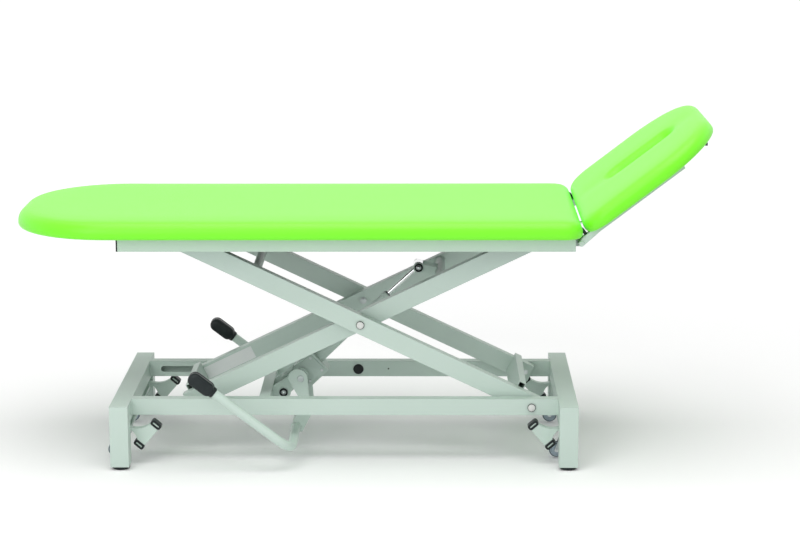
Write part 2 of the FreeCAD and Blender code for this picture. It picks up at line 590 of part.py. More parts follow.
# Barrel of the cylinder, tapering to the rod seal
barrel_length = "(barrel_end - block_start - block_length)"
barrel_cone = bind(doc.addObject("Part::Cone", "barrel_cone"), Radius1="barrel_radius",
                   Radius2="barrel_nose",
                   Height=barrel_length)
aim(barrel_cone, CYLINDER, "x", ("block_start + block_length", "0", "0"))
barrel_bore = cylinder("barrel_bore", "rod_radius + running_gap", f"2*{barrel_length}", CYLINDER, "x",
                       ("block_start + block_length + barrel_floor", "0", "0"))
keep(cut("cylinder_barrel", barrel_cone, [barrel_bore]))

# Cast pump block on a knuckle that ends in the foot eye
block = body_at("pump_casting", CYLINDER)
pad(block, "block_form", "XZ", [[("block_start", "-block_low/2"),
                                 ("block_start + block_round", "-block_low"),
    ("block_start + block_length", "-block_low"), ("block_start + block_length", "block_high"),
    ("block_start + block_round", "block_high"), ("block_start", "block_high - block_round")]],
    "block_width", both=True)
pad(block, "block_knuckle", "YZ", [("circle", "0", "0", "knuckle_radius")], "block_start + block_lap", "0")
pad(block, "block_eye", "XZ", [("circle", "0", "0", "foot_eye_radius")], "foot_eye_width", both=True)
pocket(block, "block_eye_bore", "XZ", [("circle", "0", "0", "foot_eye_bore")], "2*foot_eye_width", both=True)
keep(block)

# Two slender pipes above the knuckle, held by a yoke
yoke_block = box("yoke_block", "yoke_thick", "pipe_spread + 4*pipe_radius", "pipe_rise + pipe_radius",
                 CYLINDER,
                 ("pipe_start", "-pipe_spread/2 - 2*pipe_radius", "0"))
knuckle_space = cylinder("knuckle_space", "knuckle_radius", "block_start", CYLINDER, "x")
low_space = box("yoke_low_space", "block_start", "foot_eye_width", "knuckle_radius/2", CYLINDER,
                ("0", "-foot_eye_width/2", "0"))
yoke = cut("pipe_yoke", yoke_block, [knuckle_space, low_space])
pipes = [cylinder(f"pipe_{side}", "pipe_radius", "block_start - pipe_start", CYLINDER, "x",
                  ("pipe_start", f"{sign}pipe_spread/2", "pipe_rise")) for side,
                  sign in (("a", "-"), ("b", ""))]
keep(group("pump_pipes", "fuse", [yoke] + pipes))

# Foot bar: one bent tube, its middle across the table below the rails
def foot_bar_path(radius):
    """Tube of a given radius swept along the bar."""
    half = value("pedal_spread/2")
    corner = V(value("bar_x"), 0, value("bar_rise"))
    end = V(value("pedal_x"), 0, value("pedal_rise"))
    run = (end - corner).normalize()
    end = corner + run * ((V(value("pedal_x"), 0,
                             value("pedal_rise")) - corner).Length - value("pedal_bar_end"))
    bend = value("bar_bend")
    ease = 1 - math.sqrt(0.5)
    across_bar = V(0, 1, 0)
    starts = {}
    for sign in (-1, 1):
        side = across_bar * (sign * half)
        on_arm = corner + side + run * bend
        on_bar = corner + side - across_bar * (sign * bend)
        crest = corner + side + (run - across_bar * sign) * (bend * ease)
        starts[sign] = (end + side, on_arm, crest, on_bar)
    near, far = starts[-1], starts[1]
    edges = [Part.LineSegment(near[0], near[1]).toShape(), Part.Arc(near[1], near[2], near[3]).toShape(),
             Part.LineSegment(near[3], far[3]).toShape(), Part.Arc(far[3], far[2], far[1]).toShape(),
             Part.LineSegment(far[1], far[0]).toShape()]
    ring = Part.Wire([Part.makeCircle(radius, near[0], run)])
    return Part.Wire(edges).makePipeShell([ring], True, False)


foot_bar = doc.addObject("Part::Feature", "foot_bar")
foot_bar.Shape = foot_bar_path(value("bar_radius")).cut(foot_bar_path(value("bar_radius - bar_wall")))
foot_bar.Label = "foot_bar"
put(foot_bar)
keep(foot_bar)

lever = body_at("lever_plate_near")
lever_head = "(lever_x + lever_shift)"
pad(lever, "lever_form", "XZ", [[("bar_x - lever_tail", "bar_rise - lever_foot"),
    ("bar_x + lever_tail", "bar_rise - lever_foot"), ("lever_belly_x", "lever_belly_rise"),
    (f"{lever_head} + lever_round", "lever_rise", "lever_round", -1),
    (lever_head, "lever_rise + lever_round",
    "lever_round", -1), (f"{lever_head} - lever_round", "lever_rise"), ("lever_waist_x", "lever_waist_rise"),
    ("bar_x", "lever_belly_rise")]], "lever_thick", "lever_gap/2")
pocket(lever, "lever_holes", "XZ", [("circle", "lever_x", "lever_rise", "stub_radius + running_gap"),
       ("circle", "bar_x", "bar_rise", "bar_radius")], "2*lever_thick", "lever_gap/2 + lever_thick/2",
       both=True)
keep(both_sides("lever_plates", lever))

pedal = body_at("pedal_pad_near", PEDAL)
half_long, half_high = "pedal_length/2", "pedal_height/2"
pedal_outline = [(f"-{half_long} + {half_high}", f"-{half_high}"),
                 (f"{half_long} - {half_high}", f"-{half_high}", half_high, -1),
                 (half_long, "0", half_high, -1),
                 (f"{half_long} - {half_high}", half_high),
                 (f"-{half_long} + {half_high}", half_high, half_high, -1),
                 (f"-{half_long}", "0", half_high, -1)]
pad(pedal, "pedal_form", "XZ", [pedal_outline], "pedal_width", "pedal_spread/2 - pedal_width/2")
soften(pedal, "pedal_edges", "Fillet", lambda edge: abs(edge.BoundBox.YLength) < 0.01, "pedal_round")
pocket(pedal, "pedal_bore", "YZ", [("circle", "-pedal_spread/2", "0", "bar_radius")],
       "pedal_length", "pedal_bar_end", reverse=True)
keep(both_sides("pedal_pads", pedal))

# Top frame: two side rails, three cross bars and two guides for the upper rollers
top_rail = body_at("top_rail_near", TOP)
pad(top_rail, "top_rail_wall_form", "YZ",
    tube_section("(-top_width/2 + top_rail_thick/2)", "top_rail_height/2",
    "top_rail_thick", "top_rail_height", "top_rail_wall"), "top_rail_end - top_rail_start - rail_cap",
    "top_rail_start + rail_cap")
keep(both_sides("top_rails", top_rail))
rail_end = box("rail_end_cap", "rail_cap", "top_rail_thick", "top_rail_height", TOP,
               ("top_rail_start", "-top_width/2", "0"))
keep(both_sides("top_rail_caps", rail_end))

guide = slotted_tube("top_guide_near", TOP, rail_face, "guide_height", "rail_thick", "rail_wall",
                     "-guide_drop",
                     "cross_foot_x - cross_width/2", "guide_end",
                     f"(slot_inset - {beam_face})", pivot_x)
keep(both_sides("top_guides", guide))

cross_bars = [box(f"cross_bar_{name}", width, "top_width - 2*top_rail_thick", height, TOP,
                  (f"cross_{name}_x - {width}/2", "top_rail_thick - top_width/2",
                   f"top_rail_height - {height}"))
              for name, width, height in (("foot", "cross_width", "cross_height"),
                                          ("mid", "cross_width", "cross_height"),
                                          ("head", "cross_head_width", "cross_head_height"))]
guide_envelopes = []
for side, sign in (("near", "-1"), ("far", "1")):
    guide_envelopes.append(box(f"guide_space_{side}", "top_rail_end - top_rail_start", "rail_thick",
                               "2*guide_height", TOP, ("top_rail_start",
                               f"{sign}*({rail_face} - rail_thick/2) - rail_thick/2", "-guide_height")))

# Ears under the middle cross bar that hold the gas spring
anchor = [box(f"anchor_lug_{side}", "lug_width", "lug_thick",
              "spring_anchor_drop + top_rail_height - cross_height + lug_round",
              TOP, ("spring_anchor_x - lug_width/2", f"{sign}*(lug_gap/2 + lug_thick/2) - lug_thick/2",
                    "-spring_anchor_drop - lug_round")) for side, sign in (("near", "-1"), ("far", "1"))]
anchor_pin = cylinder("anchor_pin", "spring_pin_radius", "lug_gap + 2*lug_thick", TOP, "y",
                      ("spring_anchor_x", "-lug_gap/2 - lug_thick", "-spring_anchor_drop"))
spring_anchor = group("spring_anchor", "fuse", anchor + [anchor_pin])
keep(group("top_cross_bars", "apart", [cut("cross_bars", group("cross_bar_set", "apart", cross_bars),
     guide_envelopes), spring_anchor]))

# Board and upholstery of the main section
board = body_at("top_board", TOP)
pad(board, "board_form", "XY", [round_ends("(cushion_start + board_inset)", "(cushion_end - board_inset)",
    "(cushion_width/2 - board_inset)", "(cushion_corner - board_inset)", "board_corner")], "board_thick",
    "top_rail_height")
keep(board)
cushion = body_at("main_cushion", TOP)
pad(cushion, "cushion_form", "XY", [round_ends("cushion_start", "cushion_end", "(cushion_width/2)",
    "cushion_corner", "cushion_end_corner")], "cushion_thick", "top_rail_height + board_thick + soft_gap")
soften(cushion, "cushion_edges", "Fillet", lambda edge: abs(edge.BoundBox.ZLength) < 0.01, "cushion_edge")
keep(cushion)

# Hinge ears on the rails, with the pins that carry the head section
ear = body_at("hinge_ear", TOP)
ear_face = "(top_width/2 - top_rail_thick)"
pad(ear, "ear_plate", "XZ", [[("hinge_x - hinge_ear_length", "hinge_rise - hinge_ear_radius"),
    ("hinge_x", "hinge_rise - hinge_ear_radius", "hinge_ear_radius", -1), ("hinge_x + hinge_ear_radius",
    "hinge_rise", "hinge_ear_radius", -1), ("hinge_x", "hinge_rise + hinge_ear_radius"),
    ("hinge_x - 2*hinge_ear_radius", "top_rail_height"), ("hinge_x - hinge_ear_length", "top_rail_height")]],
    "hinge_ear_thick", f"{ear_face} - hinge_ear_thick")
pocket(ear, "ear_bore", "XZ", [("circle", "hinge_x", "hinge_rise", "hinge_radius")], "2*hinge_ear_thick",
       f"{ear_face} - hinge_ear_thick/2", both=True)
bar_face = "(head_bar_spacing/2 + head_bar_width/2)"
hinge_pin = bolt("hinge_pin", "hinge_radius", f"{bar_face} - {ear_face} + hinge_ear_thick", TOP,
                 ("hinge_x", f"-{bar_face}", "hinge_rise"), "hinge_radius + hinge_lip", "hinge_head")
keep(both_sides("hinge_ears", group("hinge_ear_pair", "apart", [ear, hinge_pin])))

# Frame of the head section: two flat bars with eyes at the hinge, a cross bar and the spring lugs
under_board = "(head_seat - head_board_thick)"
under_bar = f"({under_board} - head_bar_height)"
bar = body_at("head_bar", HEAD)
pad(bar, "head_bar_form", "XZ", [[("-head_bar_eye", "0", "head_bar_eye", -1), ("0", "-head_bar_eye"),
    ("head_bar_toe", f"{under_board} - head_bar_height"),
    ("head_bar_end", f"{under_board} - head_bar_height"),
    ("head_bar_end", under_board), ("head_bar_toe + head_bar_heel", under_board),
    ("head_bar_toe", "head_bar_crest"),
    ("head_bar_heel", "head_bar_crest"), ("0", "head_bar_eye", "head_bar_eye", -1)]],
    "head_bar_width", f"{bar_face} - head_bar_width")
pocket(bar, "head_bar_bore", "XZ", [("circle", "0", "0", "hinge_radius + running_gap")], "2*head_bar_width",
       f"{bar_face} - head_bar_width/2", both=True)
head_bars = [bar, mirrored("head_bar_far", bar, V(0, 1, 0))]
head_cross = box("head_cross", "head_bar_width", "head_bar_spacing - head_bar_width", "head_bar_height",
                 HEAD,
                 ("head_cross_x", "head_bar_width/2 - head_bar_spacing/2",
                  f"{under_board} - head_bar_height"))
lug = body_at("spring_lug", HEAD)
pad(lug, "spring_lug_form", "XZ", [[("spring_lug_x - lug_round", "-spring_lug_drop", "lug_round", -1),
    ("spring_lug_x", "-spring_lug_drop - lug_round", "lug_round", -1), ("spring_lug_x + lug_round",
    "-spring_lug_drop"), ("spring_lug_x + lug_round + lug_flare", under_bar),
    ("spring_lug_x - lug_round", under_bar)]], "lug_thick", "lug_gap/2")
lug_stub = cylinder("lug_stub", "spring_pin_radius", "lug_thick + lug_stub", HEAD, "y",
                    ("spring_lug_x", "-lug_gap/2 - lug_thick - lug_stub", "-spring_lug_drop"))
keep(group("head_frame", "apart", head_bars + [head_cross]))
near_lug = group("lug_near", "fuse", [lug, lug_stub])

# Board and upholstery of the head section, both with the face slot
def face_outline(grow):
    low = f"(face_slot_x - face_slot_length/2 - {grow})"
    high = f"(face_slot_x + face_slot_length/2 + {grow})"
    half = f"(face_slot_width/2 + {grow})"
    return [(f"{low} + {half}", f"-{half}"), (f"{high} - {half}", f"-{half}", half, -1),
            (high, "0", half, -1),
            (f"{high} - {half}", half), (f"{low} + {half}", half, half, -1), (low, "0", half, -1)]


head_board = body_at("head_board", HEAD)
pad(head_board, "head_board_form", "XY", [round_ends("(head_start + head_board_inset)",
    "(head_start + head_length - head_board_inset)", "(cushion_width/2 - head_board_inset)",
    "head_board_corner", "(head_corner - head_board_inset)"), face_outline("head_board_slot")],
    "head_board_thick", under_board)
keep(head_board)
head_cushion = body_at("head_cushion", HEAD)
pad(head_cushion, "head_cushion_form", "XY", [round_ends("head_start", "(head_start + head_length)",
    "(cushion_width/2)", "head_start_corner", "head_corner"), face_outline("0")], "head_thick",
    "head_seat + soft_gap")
soften(head_cushion, "head_cushion_edges", "Fillet", lambda edge: abs(edge.BoundBox.ZLength) < 0.01,
       "head_edge")
keep(head_cushion)

# Gas spring between the middle cross bar and the head section
spring_tube = cylinder("spring_tube", "spring_radius", "spring_length - spring_neck_length", SPRING, "x",
                       ("spring_neck_length", "0", "0"))
spring_neck = cylinder("spring_neck", "spring_neck_radius", "spring_neck_length + spring_floor/2", SPRING,
                       "x")
spring_eye = cylinder("spring_eye", "spring_eye_radius", "spring_eye_width", SPRING, "y",
                      ("0", "-spring_eye_width/2", "0"))
spring_bore = cylinder("spring_bore", "spring_rod_radius + running_gap", "spring_length", SPRING, "x",
                       ("spring_neck_length + spring_floor", "0", "0"))
spring_pin_bore = cylinder("spring_pin_bore", "spring_pin_radius + running_gap", "2*spring_eye_width",
                           SPRING, "y",
                           ("0", "-spring_eye_width", "0"))
keep(cut("gas_spring_body", group("spring_solid", "fuse", [spring_tube, spring_neck, spring_eye]),
         [spring_bore, spring_pin_bore]))
spring_rod = cylinder("spring_rod", "spring_rod_radius", "spring_rod_length", SPRING, "x",
                      (f"{spring_span} - spring_rod_length", "0", "0"))
rod_tip = cylinder("spring_rod_eye", "spring_eye_radius", "spring_eye_width", SPRING, "y",
                   (spring_span, "-spring_eye_width/2", "0"))
keep(group("gas_spring_rod", "fuse", [spring_rod, rod_tip]))

# Release lever with its knob under the end of the head section
release_z = f"({under_board} - release_drop)"
RELEASE = (f"(hinge_x + release_x*cos(head_angle) - {release_z}*sin(head_angle))", "-release_y",
           f"({hinge_z} + release_x*sin(head_angle) + {release_z}*cos(head_angle))",
           "(release_fall - head_angle)")
release_shaft = cylinder("release_shaft", "release_radius", "2*release_radius + 2*release_stub", RELEASE,
                         "y",
                         ("0", "-release_radius - release_stub", "0"))
release_rod = cylinder("release_rod", "release_radius", "release_reach", RELEASE, "x")
keep(group("release_lever", "fuse", [release_shaft, release_rod]))
knob = cylinder("release_knob_form", "knob_radius", "knob_length", RELEASE, "x", ("release_reach", "0", "0"))
knob.Label = "release_knob"
keep(knob)
release_ears = [box(f"release_ear_{side}", "release_ear_width", "release_ear_thick",
                    "release_drop + release_ear_drop", HEAD,
                    ("release_x - release_ear_width/2", f"{shift} - release_y - release_ear_thick/2",
                     f"{under_board} - release_drop - release_ear_drop"))
                for side, shift in (("near", "-release_ear_spread"), ("far", "release_ear_spread"))]
keep(group("head_brackets", "apart", [near_lug, mirrored("lug_far", near_lug, V(0, 1, 0))] + release_ears))


# Castor sets, one at each end
def castor_set(end_name, end):
    """Shaft with two pedals, the bar it presses down, and two swivel castors."""
    def at(x):
        return f"({end}*({x}))"

    shaft = cylinder(f"{end_name}_shaft_bar", "shaft_radius", "base_width - 2*post_width + 2*post_wall",
                     BASE, "y",
                     (at(shaft_x), "-base_width/2 + post_width - post_wall", "shaft_rise"))
    pieces = [shaft]
    high_x, high_z = f"({shaft_x} - tread_high_x)", "(shaft_rise + tread_high_rise)"
    low_x, low_z = f"({shaft_x} - tread_low_x)", "(shaft_rise - tread_low_drop)"
    slope = "atan((tread_high_rise + tread_low_drop)/(tread_high_x - tread_low_x))"
    for side, sign in (("near", "-1"), ("far", "1")):
        plate = body_at(f"{end_name}_pedal_{side}")
        across_x, across_z = f"tread_width/2*sin({slope})", f"tread_width/2*cos({slope})"
        along_x, along_z = f"tread_cap/2*cos({slope})", f"tread_cap/2*sin({slope})"
        outline = [(at(f"{high_x} - {across_x} + {along_x}"), f"{high_z} - {across_z} - {along_z}"),
                   (at(f"{low_x} - {across_x} - {along_x}"), f"{low_z} - {across_z} + {along_z}"),
                   (at(f"{low_x} + {across_x} - {along_x}"), f"{low_z} + {across_z} + {along_z}",
                    "tread_arc_low", int(end)),
                   (at(f"{shaft_x} - stem_start"), "shaft_rise - stem_width/2"),
                   (at(shaft_x), "shaft_rise - stem_width/2"), (at(shaft_x), "shaft_rise + stem_width/2"),
                   (at(f"{shaft_x} - stem_start"), "shaft_rise + stem_width/2", "tread_arc_high", int(end)),
                   (at(f"{high_x} + {across_x} + {along_x}"), f"{high_z} + {across_z} - {along_z}")]
        pad(plate, f"{end_name}_pedal_form_{side}", "XZ", [outline], "tread_thick",
            f"-({sign})*({rail_face} + tread_gap + tread_thick/2) - tread_thick/2")
        pieces.append(plate)
    for side, sign in (("near", "-1"), ("far", "1")):
        pieces.append(box(f"{end_name}_cam_{side}", "cam_reach + cam_tip", "cam_width", "cam_tip*2", BASE,
                          (f"{end}*({shaft_x}) - ({end} + 1)/2*(cam_reach + cam_tip)",
                           f"{sign}*cam_spread/2 - cam_width/2", "shaft_rise - cam_drop - cam_tip + 1")))
    keep(group(f"castor_pedals_{end_name}", "fuse", pieces))

    # rubber caps on the ends of both pedals
    turn = slope if end == "1" else f"-{slope}"
    caps = []
    for name, x, z in (("high", high_x, high_z), ("low", low_x, low_z)):
        cap = body_at(f"{end_name}_cap_{name}", (at(x), "0", z, turn))
        pad(cap, f"{end_name}_cap_form_{name}", "XZ",
            [rectangle("-tread_cap/2", "-tread_width/2 - tread_wall",
            "tread_cap/2", "tread_width/2 + tread_wall")], "tread_thick + 2*tread_cap_lip",
            f"{rail_face} + tread_gap - tread_cap_lip")
        soften(cap, f"{end_name}_cap_edges_{name}", "Fillet", lambda edge: abs(edge.BoundBox.YLength) > 1,
                   "tread_cap_round")
        caps += [cap, mirrored(f"{end_name}_cap_far_{name}", cap, V(0, 1, 0))]
    keep(group(f"pedal_caps_{end_name}", "apart", caps))

    # flat bar that slides on the guide posts and carries the castors
    bar = body_at(f"castor_bar_{end_name}")
    half = "(base_width/2 - post_width - castor_bar_inset)"
    holes = []
    for sign in ("-", ""):
        holes += [("circle", at(beam_x), f"{sign}castor_spread/2", "stem_radius + running_gap"),
                  ("circle", at(f"{beam_x} - guide_inset"), f"{sign}guide_spread/2",
                   "guide_radius + guide_play")]
    low_x, high_x = f"{at(beam_x)} - castor_bar_width/2", f"{at(beam_x)} + castor_bar_width/2"
    pad(bar, f"{end_name}_bar_form", "XY", [rectangle(low_x, f"-{half}", high_x, half)] + holes,
        "castor_bar_thick", "castor_bar_rise")
    keep(bar)

    # swivel castors, all trailing towards the foot end
    for side, sign in (("near", "-"), ("far", "")):
        name = f"castor_{end_name}_{side}"
        centre_x, centre_y = at(beam_x), f"{sign}castor_spread/2"
        crown = cylinder(name + "_crown", "fork_radius", "fork_crown", BASE, "z",
                         (centre_x, centre_y, "fork_top - fork_crown"))
        collar = cylinder(name + "_collar", "2*stem_radius", "castor_bar_rise - fork_top - soft_gap", BASE,
                          "z",
                          (centre_x, centre_y, "fork_top"))
        stem = cylinder(name + "_stem", "stem_radius",
                        "castor_bar_rise + castor_bar_thick + stem_nut - fork_top", BASE, "z",
                        (centre_x, centre_y, "fork_top"))
        axle = cylinder(name + "_axle", "axle_radius", "wheel_width + 2*fork_gap + 2*fork_wall + 1", BASE,
                        "y",
                        (f"{centre_x} - trail", f"{centre_y} - wheel_width/2 - fork_gap - fork_wall - 0.5",
                         wheel_z))
        cheeks = []
        for face, shift in (("a", "wheel_width/2 + fork_gap"),
                            ("b", "-wheel_width/2 - fork_gap - fork_wall")):
            cheek = body_at(f"{name}_cheek_{face}")
            pad(cheek, f"{name}_cheek_form_{face}", "XZ",
                [tapered_link(f"({centre_x} - fork_lean)", "(fork_top - fork_crown)",
                "fork_high", f"({centre_x} - trail)", wheel_z, "fork_low")], "fork_wall",
                f"-({centre_y}) - ({shift}) - fork_wall")
            cheeks.append(cheek)
        keep(group(f"{name}_fork", "fuse", [crown, collar, stem, axle] + cheeks))
        wheel = body_at(f"{name}_wheel", (f"{centre_x} - trail", centre_y, wheel_z, "0"))
        rings = [("circle", "0", "0", "wheel_radius"), ("circle", "0", "0", "axle_radius + running_gap")]
        pad(wheel, f"{name}_tyre", "XZ", rings, "wheel_width", both=True)
        soften(wheel, f"{name}_tread", "Fillet", lambda edge: edge.BoundBox.XLength > value("2*hub_radius"),
               "tread_round")
        for face, offset in (("near", "wheel_width/2 - hub_sink"), ("far", "-wheel_width/2")):
            pocket(wheel, f"{name}_dish_{face}", "XZ", [("circle", "0", "0", "hub_radius"),
                   ("circle", "0", "0", "2*axle_radius")], "hub_sink", offset, reverse=True)
        keep(wheel)


castor_set("foot", "-1")
castor_set("head", "1")

doc.recompute()
faults = [obj.Name for obj in doc.Objects if "Invalid" in obj.State or "Error" in obj.State]
faults += [obj.Label for obj in PARTS if obj.Shape.isNull() or not obj.Shape.isValid()]
if faults:
    raise RuntimeError("failed objects: " + ", ".join(faults))
for obj in PARTS:
    obj.Shape.exportStep(f"parts/{obj.Label}.step")
print(len(PARTS), "sub-parts written")
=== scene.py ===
import bpy
import bmesh
import json
import math
import numpy as np
from mathutils import Matrix, Vector


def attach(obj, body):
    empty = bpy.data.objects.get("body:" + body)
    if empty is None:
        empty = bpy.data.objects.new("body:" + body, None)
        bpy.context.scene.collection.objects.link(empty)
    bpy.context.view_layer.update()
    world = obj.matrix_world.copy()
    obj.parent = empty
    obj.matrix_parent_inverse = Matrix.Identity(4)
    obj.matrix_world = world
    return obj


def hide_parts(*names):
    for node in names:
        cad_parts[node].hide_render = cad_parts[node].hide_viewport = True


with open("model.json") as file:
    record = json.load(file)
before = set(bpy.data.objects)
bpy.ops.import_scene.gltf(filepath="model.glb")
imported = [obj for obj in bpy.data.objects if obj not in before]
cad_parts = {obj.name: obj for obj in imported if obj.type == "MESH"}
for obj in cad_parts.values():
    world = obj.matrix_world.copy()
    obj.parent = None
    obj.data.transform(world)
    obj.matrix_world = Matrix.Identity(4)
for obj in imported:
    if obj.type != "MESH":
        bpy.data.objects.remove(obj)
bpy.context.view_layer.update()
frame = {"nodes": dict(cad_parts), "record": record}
nodes = frame["nodes"]
print("frame loaded:", len(nodes), "nodes")

# Places of the frame that several pieces use, in metres; the base frame's middle lies at x = -middle
middle = 0.044466
lowPivot = Vector((0.5055 - middle, 0.0, 0.1544))
midPivot = Vector((0.042474 - middle, 0.0, 0.375252))
armTilt = math.radians(25.5)
headTilt = math.radians(37.4)
hinge = Vector((0.630 - middle, 0.0, 0.617104))
headMatrix = Matrix.Translation(hinge) @ Matrix.Rotation(-headTilt, 4, "Y")
armUp = Matrix.Translation(Vector((-0.420553 - middle, 0.0, 0.1544))) @ Matrix.Rotation(-armTilt, 4, "Y")
armDown = Matrix.Translation(lowPivot) @ Matrix.Rotation(armTilt, 4, "Y")
cylinderTilt = math.radians(42.97)
cylinderFoot = Vector((-0.176 - middle, 0.0, 0.150))
cylinderMatrix = Matrix.Translation(cylinderFoot) @ Matrix.Rotation(-cylinderTilt, 4, "Y")
castorEnds = (("foot", -0.6025 - middle), ("head", 0.6025 - middle))
castorSides = (("near", -0.176), ("far", 0.176))
wheelTrail, wheelHeight = 0.026, 0.025


# Camera at the photograph's view
cameraFacts = {"place": (0.2219 - middle, -6.0010, 1.7671), "pitch": 0.2085, "yaw": -0.0123, "roll": -0.0025,
        "lens": 99.67, "sensor": 36.0}


def placeCamera(facts):
    pitch, yaw, roll = facts["pitch"], facts["yaw"], facts["roll"]
    forward = Vector((math.sin(yaw) * math.cos(pitch), math.cos(yaw) * math.cos(pitch), -math.sin(pitch)))
    right = Vector((math.cos(yaw), -math.sin(yaw), 0.0))
    up = right.cross(forward)
    tiltedRight = right * math.cos(roll) + up * math.sin(roll)
    tiltedUp = up * math.cos(roll) - right * math.sin(roll)
    turn = Matrix((tiltedRight, tiltedUp, -forward)).transposed()
    data = bpy.data.cameras.new("photoCamera")
    data.lens = facts["lens"]
    data.sensor_width = facts["sensor"]
    data.sensor_fit = "HORIZONTAL"
    data.clip_end = 60.0
    data.dof.use_dof = False
    camera = bpy.data.objects.new("photoCamera", data)
    camera.matrix_world = Matrix.Translation(Vector(facts["place"])) @ turn.to_4x4()
    bpy.context.scene.collection.objects.link(camera)
    bpy.context.scene.camera = camera


placeCamera(cameraFacts)


# Node groups for the effects that several materials share
def shaderGroup(name, inputs, outputs):
    tree = bpy.data.node_groups.new(name, "ShaderNodeTree")
    for label, kind, default in inputs:
        socket = tree.interface.new_socket(label, in_out="INPUT", socket_type=kind)
        if default is not None:
            socket.default_value = default
    for label, kind in outputs:
        tree.interface.new_socket(label, in_out="OUTPUT", socket_type=kind)
    return tree, tree.nodes.new("NodeGroupInput"), tree.nodes.new("NodeGroupOutput")


def node(tree, kind, settings=None, values=None, links=None):
    made = tree.nodes.new(kind)
    for name, value in (settings or {}).items():
        setattr(made, name, value)
    for name, value in (values or {}).items():
        made.inputs[name].default_value = value
    for name, source in (links or {}).items():
        tree.links.new(source, made.inputs[name])
    return made


plainSocket, colorSocket, vectorSocket = "NodeSocketFloat", "NodeSocketColor", "NodeSocketVector"


def buildEdgeGroup():
    tree, start, end = shaderGroup("softEdges", [("Radius", plainSocket, 0.0012)],
            [("Normal", vectorSocket), ("Wear", plainSocket)])
    rounded = node(tree, "ShaderNodeBevel", {"samples": 4}, links={"Radius": start.outputs["Radius"]})
    flat = node(tree, "ShaderNodeNewGeometry")
    agree = node(tree, "ShaderNodeVectorMath", {"operation": "DOT_PRODUCT"},
            links={0: rounded.outputs["Normal"], 1: flat.outputs["Normal"]})
    edge = node(tree, "ShaderNodeMapRange", values={"From Min": 0.995, "From Max": 0.90, "To Min": 0.0,
            "To Max": 1.0}, links={"Value": agree.outputs["Value"]})
    place = node(tree, "ShaderNodeTexCoord")
    patch = node(tree, "ShaderNodeTexNoise", values={"Scale": 22.0, "Detail": 3.0},
            links={"Vector": place.outputs["Object"]})
    chips = node(tree, "ShaderNodeMapRange", values={"From Min": 0.50, "From Max": 0.68},
            links={"Value": patch.outputs["Fac"]})
    wear = node(tree, "ShaderNodeMath", {"operation": "MULTIPLY"},
            links={0: edge.outputs["Result"], 1: chips.outputs["Result"]})
    tree.links.new(rounded.outputs["Normal"], end.inputs["Normal"])
    tree.links.new(wear.outputs["Value"], end.inputs["Wear"])
    return tree


def buildToneGroup():
    tree, start, end = shaderGroup("toneVariation", [("Base", colorSocket, (0.8, 0.8, 0.8, 1.0)),
            ("Shade", colorSocket, (0.7, 0.7, 0.7, 1.0)), ("Scale", plainSocket, 4.0),
            ("Amount", plainSocket, 0.5)], [("Color", colorSocket), ("Mask", plainSocket)])
    place = node(tree, "ShaderNodeTexCoord")
    broad = node(tree, "ShaderNodeTexNoise", values={"Detail": 4.0, "Roughness": 0.55},
            links={"Vector": place.outputs["Object"], "Scale": start.outputs["Scale"]})
    spread = node(tree, "ShaderNodeMapRange", values={"From Min": 0.35, "From Max": 0.70},
            links={"Value": broad.outputs["Fac"]})
    share = node(tree, "ShaderNodeMath", {"operation": "MULTIPLY"},
            links={0: spread.outputs["Result"], 1: start.outputs["Amount"]})
    mixed = node(tree, "ShaderNodeMix", {"data_type": "RGBA"}, links={0: share.outputs["Value"],
            6: start.outputs["Base"], 7: start.outputs["Shade"]})
    tree.links.new(mixed.outputs[2], end.inputs["Color"])
    tree.links.new(spread.outputs["Result"], end.inputs["Mask"])
    return tree


def buildPeelGroup():
    tree, start, end = shaderGroup("finePeel", [("Scale", plainSocket, 700.0),
            ("Strength", plainSocket, 0.15), ("Normal", vectorSocket, None)],
            [("Normal", vectorSocket), ("Height", plainSocket)])
    place = node(tree, "ShaderNodeTexCoord")
    fine = node(tree, "ShaderNodeTexNoise", values={"Detail": 2.0, "Roughness": 0.4},
            links={"Vector": place.outputs["Object"], "Scale": start.outputs["Scale"]})
    bump = node(tree, "ShaderNodeBump", values={"Distance": 0.0004}, links={"Height": fine.outputs["Fac"],
            "Strength": start.outputs["Strength"], "Normal": start.outputs["Normal"]})
    tree.links.new(bump.outputs["Normal"], end.inputs["Normal"])
    tree.links.new(fine.outputs["Fac"], end.inputs["Height"])
    return tree


